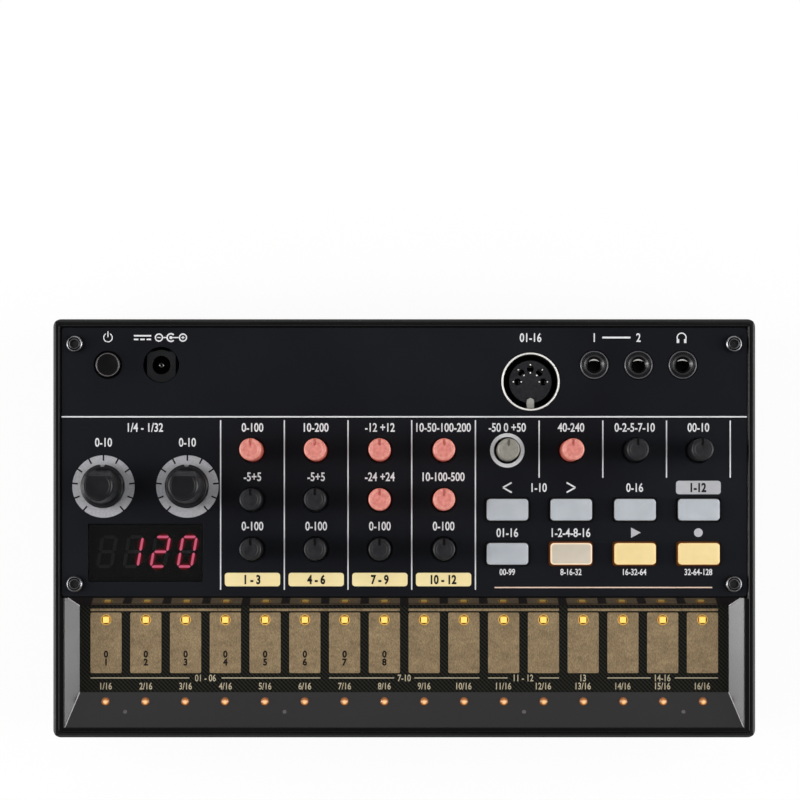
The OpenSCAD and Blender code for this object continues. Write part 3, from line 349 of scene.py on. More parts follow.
def markFromAxis(mesh, centre, reach):
    # how far each point lies from the upright axis, as a share of reach
    layer = mesh.attributes.new("fromAxis", "FLOAT", "POINT")
    shares = [math.hypot(v.co.x - centre.x, v.co.y - centre.y) / reach for v in mesh.vertices]
    layer.data.foreach_set("value", shares)
    return mesh


def textMesh(words, middle, height, low, thick, squeeze=0.78, bold=0.016):
    curve = bpy.data.curves.new("words", "FONT")
    curve.body = words
    curve.align_x = "CENTER"
    curve.resolution_u = 4
    curve.offset = bold
    curve.extrude = 0.5
    mesh = baked(linked("words", curve))
    capHigh = 0.69  # height of a figure in the built-in font at size 1
    scale = height / capHigh
    xs = [v.co.x for v in mesh.vertices]
    shift = Matrix.Translation((-(min(xs) + max(xs)) / 2, -capHigh / 2, curve.extrude))
    size = Matrix.Diagonal((scale * squeeze, scale, thick, 1))
    mesh.transform(Matrix.Translation((middle[0], middle[1], low)) @ size @ shift)
    return welded(mesh)


# Node trees for what repeats

def fill(tree, node, values):
    # sockets of a node, each by a value or by a link
    for socket, value in values.items():
        if isinstance(value, bpy.types.NodeSocket):
            tree.links.new(value, node.inputs[socket])
        else:
            node.inputs[socket].default_value = value


def addNode(tree, kind, values=None, **settings):
    node = tree.nodes.new(kind)
    for name, value in settings.items():
        setattr(node, name, value)
    fill(tree, node, values or {})
    return node


def growTree(name, **inputs):
    # each tree takes a unit and its finish, and what else it is told
    tree = bpy.data.node_groups.new(name, "GeometryNodeTree")
    tree.interface.new_socket("Geometry", in_out="OUTPUT", socket_type="NodeSocketGeometry")
    for label, kind in {"Unit": "Object", "Finish": "Material", **inputs}.items():
        tree.interface.new_socket(label, in_out="INPUT", socket_type="NodeSocket" + kind)
    return tree, tree.nodes.new("NodeGroupInput").outputs


def closeTree(tree, given, points, shift=None, **turn):
    # units on the points, made real, with their finish
    unit = addNode(tree, "GeometryNodeObjectInfo", {"Object": given["Unit"]})
    place = addNode(tree, "GeometryNodeInstanceOnPoints", {
        "Points": points, "Instance": unit.outputs["Geometry"], **turn})
    made = place.outputs["Instances"]
    if shift is not None:
        made = addNode(tree, "GeometryNodeTransform", {
            "Geometry": made, "Translation": shift}).outputs["Geometry"]
    real = addNode(tree, "GeometryNodeRealizeInstances", {"Geometry": made})
    paint = addNode(tree, "GeometryNodeSetMaterial", {
        "Geometry": real.outputs["Geometry"], "Material": given["Finish"]})
    addNode(tree, "NodeGroupOutput", {"Geometry": paint.outputs["Geometry"]})
    return tree


def makeRowTree():
    tree, given = growTree("rowOfUnits", Count="Int", First="Vector", Step="Vector")
    line = addNode(tree, "GeometryNodeMeshLine", {
        "Count": given["Count"], "Start Location": given["First"], "Offset": given["Step"]})
    return closeTree(tree, given, line.outputs["Mesh"])


def makeCornerTree():
    tree, given = growTree("cornersOfUnits", Width="Float", Depth="Float", Middle="Vector")
    grid = addNode(tree, "GeometryNodeMeshGrid", {
        "Vertices X": 2, "Vertices Y": 2, "Size X": given["Width"], "Size Y": given["Depth"]})
    return closeTree(tree, given, grid.outputs["Mesh"], given["Middle"])


def makeFanTree():
    tree, given = growTree("fanOfUnits", Count="Int", FirstAngle="Float", AngleStep="Float", Middle="Vector")
    line = addNode(tree, "GeometryNodeMeshLine", {"Count": given["Count"], "Offset": (0, 0, 0)})
    index = addNode(tree, "GeometryNodeInputIndex").outputs["Index"]
    angle = addNode(tree, "ShaderNodeMath", {
        0: index, 1: given["AngleStep"], 2: given["FirstAngle"]}, operation="MULTIPLY_ADD")
    axis = addNode(tree, "ShaderNodeCombineXYZ", {"Z": angle.outputs["Value"]})
    turn = addNode(tree, "FunctionNodeEulerToRotation", {"Euler": axis.outputs["Vector"]})
    return closeTree(tree, given, line.outputs["Mesh"], given["Middle"], Rotation=turn.outputs["Rotation"])


def grown(tree, unitMesh, **values):
    unit = linked("unit", unitMesh)
    host = linked("host", bpy.data.meshes.new("host"))
    grow = modified(host, "NODES", node_group=tree)
    values["Unit"] = unit
    for item in tree.interface.items_tree:
        if item.in_out == "INPUT":
            grow[item.identifier] = values[item.name]
    return baked(host, unit)


rowTree = makeRowTree()
cornerTree = makeCornerTree()
fanTree = makeFanTree()


def onCorners(unit, node, inset, finishUsed):
    # a unit in each corner of a node's box
    low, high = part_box(node)
    middle = middleOf(node)
    return grown(cornerTree, unit, Finish=finishUsed, Width=high.x - low.x - 2 * inset,
                 Depth=high.y - low.y - 2 * inset, Middle=(middle.x, middle.y, 0))


print("node trees for rows, corners and fans are ready")


# Shared shader effects

def shaderGroup(name, inputs, outputs):
    tree = bpy.data.node_groups.new(name, "ShaderNodeTree")
    for label, kind in inputs.items():
        tree.interface.new_socket(label, in_out="INPUT", socket_type="NodeSocket" + kind)
    for label in outputs:
        tree.interface.new_socket(label, in_out="OUTPUT", socket_type="NodeSocketFloat")
    return tree


def effectGroup(name, inputs):
    # each effect is told its ends of gloss, and gives a gloss, a relief and a share of its second colour
    tree = shaderGroup(name, {**inputs, "Rough Low": "Float", "Rough High": "Float"},
                       ["Roughness", "Height", "Patch"])
    place = tree.nodes.new("ShaderNodeTexCoord").outputs["Object"]
    return tree, tree.nodes.new("NodeGroupInput").outputs, place


def noise(tree, scale, place, detail):
    return addNode(tree, "ShaderNodeTexNoise", {"Scale": scale, "Detail": detail, "Vector": place}).outputs[0]


def spread(tree, value, low, high, fromLow=0.3, fromHigh=0.7):
    return addNode(tree, "ShaderNodeMapRange", {
        "Value": value, "From Min": fromLow, "From Max": fromHigh, "To Min": low, "To Max": high,
    }).outputs["Result"]


def closeEffect(tree, given, height, tone, *ends):
    addNode(tree, "NodeGroupOutput", {
        "Roughness": spread(tree, tone, given["Rough Low"], given["Rough High"], *ends),
        "Height": height, "Patch": spread(tree, tone, 0, 1, *ends)})
    return tree


def makeGrainGroup():
    # fine moulded grain, with slow patches of wear in its gloss
    tree, given, place = effectGroup("mouldedGrain", {"Grain Scale": "Float", "Patch Scale": "Float"})
    patch = noise(tree, given["Patch Scale"], place, detail=4)
    return closeEffect(tree, given, noise(tree, given["Grain Scale"], place, detail=2), patch)


def makeBrushGroup():
    # streaks drawn out along one direction, and a share of others across them
    tree, given, place = effectGroup("brushedStreaks", {
        "Stretch": "Vector", "Across": "Vector", "Cross Share": "Float"})
    ways = []
    for way in ("Stretch", "Across"):
        drawn = addNode(tree, "ShaderNodeVectorMath", {0: place, 1: given[way]}, operation="MULTIPLY")
        ways.append(noise(tree, 1, drawn.outputs["Vector"], detail=5))
    streak = addNode(tree, "ShaderNodeMix", {0: given["Cross Share"], 2: ways[0], 3: ways[1]}).outputs[0]
    return closeEffect(tree, given, streak, streak)


def makeTwillGroup():
    # slanted ribs that cross a finer set, like coated cloth under a lacquer
    tree, given, place = effectGroup("slantedWeave", {"Rib Scale": "Float"})
    ribs = []
    for turn in (-45, 45):
        mapping = addNode(tree, "ShaderNodeMapping", {
            "Vector": place, "Rotation": (0, 0, math.radians(turn))})
        wave = addNode(tree, "ShaderNodeTexWave", {
            "Vector": mapping.outputs["Vector"], "Scale": given["Rib Scale"], "Distortion": 0.6})
        ribs.append(wave.outputs["Fac"])
    fineShare = 0.35
    height = addNode(tree, "ShaderNodeMath", {0: ribs[1], 1: fineShare, 2: ribs[0]},
                     operation="MULTIPLY_ADD").outputs["Value"]
    return closeEffect(tree, given, height, height, 0, 1 + fineShare)


def makeFacingGroup():
    # masks of the faces that lean to the front, which take a coat, and of those that lie level, which take a
    # painted shade
    tree = shaderGroup("facingMasks", {}, ["Front", "Level"])
    normal = tree.nodes.new("ShaderNodeTexCoord").outputs["Normal"]
    parts = addNode(tree, "ShaderNodeSeparateXYZ", {"Vector": normal}).outputs
    frontEnds, levelEnds = (-0.55, -0.75), (0.9, 0.99)
    addNode(tree, "NodeGroupOutput", {
        "Front": spread(tree, parts["Y"], 0, 1, *frontEnds),
        "Level": spread(tree, parts["Z"], 0, 1, *levelEnds)})
    return tree


effects = {"grain": makeGrainGroup(), "brush": makeBrushGroup(), "twill": makeTwillGroup()}
facingMasks = makeFacingGroup()


def linear(code):
    # a colour as it looks, to the linear values that a shader takes
    parts = [int(code[k:k + 2], 16) / 255 for k in (1, 3, 5)]
    return tuple(p / 12.92 if p <= 0.04045 else ((p + 0.055) / 1.055) ** 2.4 for p in parts) + (1,)


def mixColours(tree, factor, first, second, way="MIX"):
    colours = [linear(colour) if isinstance(colour, str) else colour for colour in (first, second)]
    return addNode(tree, "ShaderNodeMix", {0: factor, 6: colours[0], 7: colours[1]},
                   data_type="RGBA", blend_type=way).outputs[2]


def shade(layer, *stops, strength=1):
    # colours for the shares of a point layer
    return {"layer": layer, "stops": stops, "strength": strength}


def layerRamp(tree, settings):
    layer = addNode(tree, "ShaderNodeAttribute", attribute_name=settings["layer"])
    ramp = addNode(tree, "ShaderNodeValToRGB", {"Fac": layer.outputs["Fac"]})
    stops = ramp.color_ramp.elements
    stops.remove(stops[1])
    stops[0].position = settings["stops"][0][0]
    stops[0].color = linear(settings["stops"][0][1])
    for spot, code in settings["stops"][1:]:
        stops.new(spot).color = linear(code)
    return ramp.outputs["Color"]


def finish(name, look):
    # one effect drives colour, gloss and relief; point layers can drive the tone, which paints shade and
    # highlights, and the light; a level colour paints shade on level faces
    material = bpy.data.materials.new(name)
    material.use_nodes = True
    tree = material.node_tree
    effect = addNode(tree, "ShaderNodeGroup", look["values"], node_tree=effects[look["effect"]]).outputs
    facing = addNode(tree, "ShaderNodeGroup", node_tree=facingMasks).outputs
    base = mixColours(tree, effect["Patch"], *look["colours"])
    if look.get("tone"):
        base = mixColours(tree, 1, base, layerRamp(tree, look["tone"]), "MULTIPLY")
    # painted shade: faces that lie level are darkened towards the level colour
    if look.get("level"):
        base = mixColours(tree, facing["Level"], base, look["level"])
    bump = addNode(tree, "ShaderNodeBump", {
        "Strength": look["relief"][0], "Distance": look["relief"][1] * mm, "Height": effect["Height"]})
    values = {**look["shader"], "Base Color": base, "Roughness": effect["Roughness"],
              "Normal": bump.outputs["Normal"]}
    if look.get("glow"):
        values["Emission Color"] = layerRamp(tree, look["glow"])
        values["Emission Strength"] = look["glow"]["strength"]
    if look.get("frontCoat"):
        values["Coat Weight"] = facing["Front"]
    fill(tree, tree.nodes["Principled BSDF"], values)
    return material


def effectLook(effect, colours, rough, relief, values, more):
    # other words than these four are sockets of the shader, their spaces written as underscores
    extra = {key: more.pop(key, None) for key in ("tone", "glow", "level", "frontCoat")}
    return {
        "effect": effect, "colours": colours, "relief": relief, **extra,
        "values": {**values, "Rough Low": rough[0], "Rough High": rough[1]},
        "shader": {key.replace("_", " "): value for key, value in more.items()},
    }


def grainLook(dark, light, rough, grain=3000, patch=60, relief=(0.15, 0.02), **more):
    values = {"Grain Scale": grain, "Patch Scale": patch}
    return effectLook("grain", (dark, light), rough, relief, values, more)


def brushLook(dark, light, rough, stretch, relief=(0.1, 0.01), across=(1, 1, 1), cross=0, **more):
    values = {"Stretch": stretch, "Across": across, "Cross Share": cross}
    return effectLook("brush", (dark, light), rough, relief, values, more)


print("shader effects are ready:", ", ".join(effects))


# Case, frame and underside

traySettings = {
    **sized(edge=0.2, rim=1),
    # the level colour is painted shade on the case's level faces
    "look": grainLook("#101011", "#161617", (0.36, 0.48), 2600, 40, (0.25, 0.03),
                      Specular_IOR_Level=0.3, level="#030303"),
}
trayLow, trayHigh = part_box("bottom_case")


def trayEdge(edge):
    # the inner rim of the case, and the foot of its walls; the outer rim has its own chamfer
    spots = [v.co for v in edge.verts]
    inner = trayHigh - Vector([traySettings["rim"]] * 3)
    within = [abs(spot.x) < inner.x and abs(spot.y) < inner.y for spot in spots]
    onRim = all(within) and min(spot.z for spot in spots) > inner.z
    onFoot = not any(within) and max(spot.z for spot in spots) < trayLow.z + traySettings["rim"]
    return onRim or onFoot


addPiece("case_tray", softCopy("bottom_case", traySettings["edge"], trayEdge),
         finish("trayBlack", traySettings["look"]), ["bottom_case"])

frameSettings = {
    # edges further in than the rim close off its narrow top
    **sized(edge=0.25, rim=0.5, bead=0.15),
    "innerShare": 0.5,  # of the rounding, so that the two sides of the rim don't meet
    "beadProfile": [
        ("axis", 0, "foot", 0, 0), ("side", 0, "foot", 0, 0.075), ("side", 0, "top", 0, 0.075),
        ("axis", 0, "top", 0, 0)],
    # pale colour of the corner beads: a painted highlight
    "beadHighlightLook": grainLook("#b4b1b4", "#c6c3c6", (0.3, 0.4), 2500, 300, (0.1, 0.02)),
    # the level colour is painted shade on the frame's level faces
    "look": grainLook("#130f11", "#181416", (0.2, 0.28), 1800, 30, (0.04, 0.02), frontCoat=True,
                      level="#030303", Specular_IOR_Level=0.4, Coat_Roughness=0.04, Coat_IOR=2.3),
}
recessSettings = sized(  # the slanted corners of the recess
    frontFoot=(89.8, -45.35, 27.0), frontTop=(93.4, -54.75, 30.85),
    rearFoot=(89.8, -21.45, 27.0), rearTop=(92.61, -19.2, 30.0))


def frameEdge(edge):
    # how far an edge of the frame is rounded: only those at its top are
    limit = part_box("top_frame")[1]
    reach = limit - Vector((frameSettings["rim"], frameSettings["rim"], frameSettings["edge"]))
    if min(v.co.z for v in edge.verts) < reach.z:
        return 0
    inside = all(abs(v.co.x) < reach.x and abs(v.co.y) < reach.y for v in edge.verts)
    return frameSettings["innerShare"] if inside else 1


def makeBeads(settings):
    # a fine bead in each slanted corner, its pale colour a painted highlight along the corner
    beads = []
    for side, corner in [(side, corner) for side in (-1, 1) for corner in ("front", "rear")]:
        start, end = (Vector((side * x, y, z)) for x, y, z in (
            recessSettings[corner + "Foot"], recessSettings[corner + "Top"]))
        way = end - start
        bead = turned(profileOf(settings["beadProfile"], side=settings["bead"], foot=0, top=way.length),
                      turns=12)
        bead.transform(Matrix.Translation(start) @ way.to_track_quat("Z", "Y").to_matrix().to_4x4())
        beads.append(bead)
    return joined(*beads)


addPiece("bevel_frame", softCopy("top_frame", frameSettings["edge"], frameEdge),
         finish("frameBlack", frameSettings["look"]), ["top_frame"])
addPiece("recess_beads", makeBeads(frameSettings), finish("paintedCornerHighlight", frameSettings["beadHighlightLook"]))

doorSettings = {
    **sized(edge=0.15),
    "look": grainLook("#161618", "#1d1d20", (0.42, 0.55), 2200, 45, (0.3, 0.03)),
}
addPiece("bay_door", softCopy("battery_door", doorSettings["edge"]),
         finish("doorBlack", doorSettings["look"]), ["battery_door"], "battery_door")

footSettings = {
    **sized(radius=5),
    "profile": [
        ("axis", 0, "foot", 0, 0), ("side", -2.25, "foot", 0, 0), ("side", -2, "foot", 0.3, 0.1),
        ("side", -1.5, "foot", 0.3, 0.1), ("side", -1.25, "foot", 0, 0.1), ("side", 0, "foot", 0, 0.8),
        ("side", 0, "top", 0, 0), ("axis", 0, "top", 0, 0)],
    "look": grainLook("#0d0d0d", "#161616", (0.7, 0.85), 1500, 120, (0.4, 0.05)),
}


def makeFeet(settings, finishUsed):
    low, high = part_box("rubber_feet")
    foot = turned(profileOf(settings["profile"], side=settings["radius"], foot=low.z, top=high.z), turns=48)
    return onCorners(foot, "rubber_feet", settings["radius"], finishUsed)


footRubber = finish("footRubber", footSettings["look"])
addPiece("corner_feet", makeFeet(footSettings, footRubber), footRubber, ["rubber_feet"])
print("case, frame, door and feet are made")


# Control panel with its holes

panelSettings = {
    **sized(corner=0.8, edge=0.1, knobHole=3.6, jackHole=4.1, powerHole=3.9, dcHole=4.95, dinHole=8.2,
            screwHole=1.6, screwHead=2.25, jackBody=8.8, button=(12.2, 6.75, 0.95), window=(31.6, 15.9, 0.3)),
    "look": grainLook("#0f1015", "#121419", (0.42, 0.5), 2400, 26, (0.16, 0.02), Specular_IOR_Level=0.12),
}
jackMiddle = middleOf("phone_jacks")
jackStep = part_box("phone_jacks")[1].x - jackMiddle.x - panelSettings["jackBody"] / 2
jackX = [jackMiddle.x + k * jackStep for k in (-1, 0, 1)]
jackY = jackMiddle.y


def makePanel(settings):
    edge = settings["edge"]
    size = panelHigh - panelLow
    outlines = [roundRect(size.x - 2 * edge, size.y - 2 * edge, settings["corner"],
                          centre=(panelLow + panelHigh) / 2)]
    rounds = [(middleOf(n), "knobHole") for n in knobNames + dialNames]
    rounds += [(Vector((x, jackY, 0)), "jackHole") for x in jackX]
    rounds += [(middleOf(n), hole) for n, hole in (
        ("power_button", "powerHole"), ("dc_pin", "dcHole"), ("din_insert", "dinHole"))]
    low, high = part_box("panel_screws")
    head = settings["screwHead"]
    rounds += [(Vector((x, y, 0)), "screwHole")
               for x in (low.x + head, high.x - head) for y in (low.y + head, high.y - head)]
    outlines += [circlePoints(spot.x, spot.y, settings[hole] + edge) for spot, hole in rounds]
    for node, hole in [(n, "button") for n in buttonNames] + [("display_window", "window")]:
        wide, deep, corner = settings[hole]
        outlines.append(roundRect(wide + 2 * edge, deep + 2 * edge, corner + edge, centre=middleOf(node)))
    return flatUnit(outlines, panelLow.z, panelHigh.z, edge, resolution=1)


addPiece("panel_plate", makePanel(panelSettings), finish("panelBlack", panelSettings["look"]),
         ["control_panel"])
print("control panel is made")


# Print on the panel

inkSettings = {
    **sized(thick=0.02, capHigh=2.3, smallHigh=1.65, titleLift=6.32, lineWide=0.34, rearLine=30.63,
            rearWide=0.37, longLine=(29.7, -16.87), shortLine=(29.6, 13.9), symbolY=52.4, dialTitleLift=12.15,
            buttonTitleLift=(6.1, 5.8), subtitleDrop=5.0),
    "longLines": 5,
    "white": grainLook("#cfcfd2", "#dcdcde", (0.45, 0.6), 3500, 200, (0.1, 0.01)),
    "peach": grainLook("#d6bba8", "#e2c7b4", (0.4, 0.5), 3000, 90, (0.1, 0.01)),
    "cream": grainLook("#e8d59b", "#ecdba5", (0.45, 0.55), 3000, 90, (0.1, 0.01)),
    "dark": grainLook("#0a0907", "#12100b", (0.5, 0.6), 3000, 90, (0.1, 0.01), Specular_IOR_Level=0.2),
    "grey": grainLook("#a9a9ad", "#b9b9bd", (0.4, 0.5), 3000, 120, (0.1, 0.01)),
}
signSettings = {
    "power": sized(ring=(1.05, 1.31), bar=(0.1, 1.7), wide=0.27),
    "direct": sized(shift=-5.1, half=2.4, wide=0.42, lift=0.5, pitch=1.75, dash=0.62),
    "polarity": sized(shift=2.7, reach=3.3, ring=(0.8, 1.15), half=0.45, lead=(1.2, 2.1), gap=0.13,
                      cup=(0.85, 1.25), dot=0.42, pin=(0.4, 1.25), wide=0.32, thin=0.256, pinWide=0.288),
    "phones": sized(shift=-0.3, bow=(1.06, 1.38), ear=(1.0, -0.95), half=0.55, wide=0.66),
    "angle": sized(half=1.2, rise=1.35, wide=0.42),
    "between": sized(gap=2.2, wide=0.5),
}
labelSettings = {
    **sized(y=-14.08, wide=15.2, secondWide=12.3, deep=3.7, corner=0.8, playShift=0.3, playRear=1.3,
            playFront=1.4, dot=1.2, lineY=-16.26, lineStart=3.5, lineEnd=3.8, lineWide=0.33),
    "bold": 0.04,
    "words": ("1 - 3", "4 - 6", "7 - 9", "10 - 12"),
}
knobTitles = {
    "kick_click": "0-100", "kick_pitch": "-5+5", "kick_decay": "0-100",
    "snare_snap": "10-200", "snare_pitch": "-5+5", "snare_decay": "0-100",
    "tom_high": "-12 +12", "tom_low": "-24 +24", "tom_decay": "0-100",
    "hat_closed": "10-50-100-200", "hat_open": "10-100-500", "hat_grain": "0-100",
    "speed": "-50 0 +50", "tempo": "40-240", "level": "0-2-5-7-10", "volume": "00-10",
}
inkLow, inkHigh = panelTop, panelTop + inkSettings["thick"]
titleY = [y + lift for y, lift in zip(buttonY, inkSettings["buttonTitleLift"])]


def inkStroke(bm, start, end, width):
    stroke(bm, start, end, width, inkLow, inkHigh)


def inkArc(bm, centre, radii, fromDeg=0, toDeg=360, steps=32):
    arcBand(bm, centre, *radii, fromDeg, toDeg, inkLow, inkHigh, steps)


def inkSlab(bm, points):
    slab(bm, points, inkLow, inkHigh)


def powerSign(bm, x, y, sign):
    inkArc(bm, (x, y), sign["ring"], fromDeg=120, toDeg=420)
    inkStroke(bm, (x, y + sign["bar"][0]), (x, y + sign["bar"][1]), sign["wide"])


def directCurrentSign(bm, x, y, sign):
    # a full line over three dashes
    half, lift, dash = sign["half"], sign["lift"], sign["dash"]
    inkStroke(bm, (x - half, y + lift), (x + half, y + lift), sign["wide"])
    for k in (-1, 0, 1):
        middle = x + k * sign["pitch"]
        inkStroke(bm, (middle - dash, y - lift), (middle + dash, y - lift), sign["wide"])


def polaritySign(bm, x, y, sign):
    # minus on the outside of the plug, plus on its pin
    half, plus = sign["half"], x + sign["reach"]
    for side in (-1, 1):
        middle = x + side * sign["reach"]
        inkArc(bm, (middle, y), sign["ring"])
        inkStroke(bm, (middle - half, y), (middle + half, y), sign["thin"])
        inkStroke(bm, (x + side * sign["lead"][0], y), (x + side * sign["lead"][1], y), sign["wide"])
    for way in (-1, 1):
        inkStroke(bm, (plus, y + way * sign["gap"]), (plus, y + way * half), sign["thin"])
    inkArc(bm, (x, y), sign["cup"], fromDeg=45, toDeg=315)
    inkSlab(bm, circlePoints(x, y, sign["dot"], steps=24))
    inkStroke(bm, (x + sign["pin"][0], y), (x + sign["pin"][1], y), sign["pinWide"])


def headphoneSign(bm, x, y, sign):
    inkArc(bm, (x, y), sign["bow"], fromDeg=-20, toDeg=200)
    for side in (-1, 1):
        earX, earY = x + side * sign["ear"][0], y + sign["ear"][1]
        inkStroke(bm, (earX, earY - sign["half"]), (earX, earY + sign["half"]), sign["wide"])


def angleSign(bm, x, y, side, sign):
    for way in (-1, 1):
        inkStroke(bm, (x - side * sign["half"], y + way * sign["rise"]), (x + side * sign["half"], y),
                  sign["wide"])


def makeLines(settings):
    bm = bmesh.new()
    rear, signY = settings["rearLine"], settings["symbolY"]
    inkStroke(bm, (panelLow.x, rear), (panelHigh.x, rear), settings["rearWide"])
    lines = [(columnX[0] + (k - 0.5) * columnStep, "longLine") for k in range(settings["longLines"])]
    lines += [(x + columnStep / 2, "shortLine") for x in columnX[4:]]
    for x, line in lines:
        inkStroke(bm, (x, settings[line][0]), (x, settings[line][1]), settings["lineWide"])
    inlet = middleOf("dc_pin").x
    for draw, x, name in (
            (powerSign, middleOf("power_button").x, "power"), (directCurrentSign, inlet, "direct"),
            (polaritySign, inlet, "polarity"), (headphoneSign, jackX[2], "phones")):
        sign = signSettings[name]
        draw(bm, x + sign.get("shift", 0), signY, sign)
    angleSign(bm, columnX[4], titleY[0], -1, signSettings["angle"])
    angleSign(bm, columnX[5], titleY[0], 1, signSettings["angle"])
    between = signSettings["between"]
    inkStroke(bm, (jackX[0] + between["gap"], signY), (jackX[1] - between["gap"], signY), between["wide"])
    return meshOf(bm)


def makeTitles(settings):
    high, low, signY = settings["capHigh"], settings["smallHigh"], settings["symbolY"]
    lift, dials = settings["titleLift"], [middleOf(n) for n in dialNames]
    knobs = {name: middleOf(name + "_knob") for name in knobTitles}
    texts = [(words, knobs[name].x, knobs[name].y + lift, high) for name, words in knobTitles.items()]
    texts.append(("1/4 - 1/32", (dials[0].x + dials[1].x) / 2, knobs["kick_click"].y + lift, high))
    texts += [("0-10", spot.x, spot.y + settings["dialTitleLift"], high) for spot in dials]
    texts += [
        ("01-16", middleOf("din_insert").x, signY, high), ("1", jackX[0], signY, high),
        ("2", jackX[1], signY, high), ("1-10", (columnX[4] + columnX[5]) / 2, titleY[0], high),
        ("0-16", columnX[6], titleY[0], high), ("01-16", columnX[4], titleY[1], high),
        ("1-2-4-8-16", columnX[5], titleY[1], high)]
    texts += [(words, x, buttonY[1] - settings["subtitleDrop"], low)
              for x, words in zip(columnX[4:], ("00-99", "8-16-32", "16-32-64", "32-64-128"))]
    return [textMesh(words, (x, y), size, inkLow, settings["thick"]) for words, x, y, size in texts]


def makeLabels(settings):
    # four part labels, the pale field over the second function, and the signs to play and record
    cream, grey, words = bmesh.new(), bmesh.new(), []
    fields = [(cream, x, settings["y"], settings["wide"], name)
              for x, name in zip(columnX[:4], settings["words"])]
    fields.append((grey, columnX[7], titleY[0], settings["secondWide"], "1-12"))
    for bm, x, y, wide, name in fields:
        inkSlab(bm, roundRect(wide, settings["deep"], settings["corner"], centre=Vector((x, y, 0))))
        words.append(textMesh(name, (x, y), inkSettings["capHigh"], inkHigh, inkSettings["thick"],
                              bold=settings["bold"]))
    play, rear, front = columnX[6] + settings["playShift"], settings["playRear"], settings["playFront"]
    inkSlab(grey, [(play - rear, titleY[1] - front), (play + front, titleY[1]),
                   (play - rear, titleY[1] + front)])
    inkSlab(grey, circlePoints(columnX[7], titleY[1], settings["dot"], steps=40))
    return meshOf(cream), meshOf(grey), joined(*words)


def makeAmberLine(settings):
    bm = bmesh.new()
    y = settings["lineY"]
    inkStroke(bm, (columnX[4] - settings["lineStart"], y), (columnX[7] + settings["lineEnd"], y),
              settings["lineWide"])
    return meshOf(bm)


darkInk = finish("inkDark", inkSettings["dark"])
addPiece("panel_print", joined(makeLines(inkSettings), *makeTitles(inkSettings)),
         finish("inkWhite", inkSettings["white"]))
labelFields, greyField, labelWords = makeLabels(labelSettings)
addPiece("label_fields", labelFields, finish("inkCream", inkSettings["cream"]))
addPiece("second_field", greyField, finish("inkGrey", inkSettings["grey"]))
addPiece("label_words", labelWords, darkInk)
addPiece("amber_line", makeAmberLine(labelSettings), finish("inkPeach", inkSettings["peach"]))

ringSettings = {
    **sized(dial=(3.75, 8.57), speed=(3.7, 4.72), tickWide=0.44, tickLong=1.5),
    "count": 11,
    "sweep": 140,
    "silver": grainLook("#97979b", "#adadb1", (0.4, 0.5), 3800, 1800, (0.15, 0.01)),
    # pale is a lighter copy of the silver print for the ring under the speed knob, painted light against the
    # knob's shade
    "pale": grainLook("#c2c2c4", "#d0d0d2", (0.4, 0.5), 3800, 1800, (0.15, 0.01)),
}


def makeRings(names, radii, steps):
    bm = bmesh.new()
    for n in names:
        inkArc(bm, middleOf(n), radii, steps=steps)
    return meshOf(bm)


def makeTicks(settings, finishUsed):
    reach, sweep, count = settings["dial"][1], math.radians(settings["sweep"]), settings["count"]
    parts = []
    for n in dialNames:
        bm = bmesh.new()
        stroke(bm, (0, reach - settings["tickLong"]), (0, reach), settings["tickWide"], inkHigh,
               inkHigh + inkSettings["thick"])
        spot = middleOf(n)
        parts.append(grown(fanTree, meshOf(bm), Finish=finishUsed, Count=count, FirstAngle=-sweep,
                           AngleStep=2 * sweep / (count - 1), Middle=(spot.x, spot.y, 0)))
    return joined(*parts)


addPiece("dial_rings", makeRings(dialNames, ringSettings["dial"], steps=96),
         finish("ringSilver", ringSettings["silver"]))
addPiece("speed_ring", makeRings(["speed_knob"], ringSettings["speed"], steps=72),
         finish("ringPale", ringSettings["pale"]))
addPiece("dial_ticks", makeTicks(ringSettings, darkInk), darkInk)
print("panel print is made")


# Knobs and dials

knobSettings = {
    **sized(notch=(0.75, 2.0, 0.5), nearFoot=0.01),
    "notchCorner": 0.49,
    "profile": [
        ("axis", 0, "foot", 0, 0), ("side", -0.2, "foot", 0, 0.1), ("side", 0, "foot", 0.2, 0.1),
        ("side", 0, "top", -0.35, 0.2), ("side", -0.35, "top", 0, 0.15), ("side", -0.85, "top", 0, 0.1),
        ("side", -1.05, "top", -0.1, 0.1), ("axis", 0, "top", -0.1, 0)],
    "pink": ["kick_click_knob", "snare_snap_knob", "tom_high_knob", "tom_low_knob",
             "hat_closed_knob", "hat_open_knob", "tempo_knob"],
    "smoke": ["speed_knob"],
    # the notch tone is painted shade in the foot of the notch
    "blackLook": grainLook("#121215", "#1e1e21", (0.42, 0.54), 2600, 700, (0.35, 0.04),
                           Specular_IOR_Level=0.35, tone=shade("notch", (0, "#ffffff"), (1, "#303030"))),
    # the tone paints a lighter ring of highlight near the rim; the glow is painted light, as the knob is no
    # lamp, redder at its side
    "pinkLook": grainLook(
        "#ba7871", "#d49a93", (0.34, 0.44), 2200, 1100, (0.25, 0.03),
        tone=shade("fromAxis", (0, "#ffe9e4"), (0.6, "#f4dcd6"), (0.8, "#fff6ee"), (1, "#ffeedd")),
        glow=shade("fromAxis", (0, "#ff8078"), (0.8, "#ff7c70"), (1, "#ff2a1a"), strength=0.1)),
    "smokeLook": grainLook("#7c7970", "#8d8a81", (0.3, 0.4), 2200, 900, (0.1, 0.02)),
}


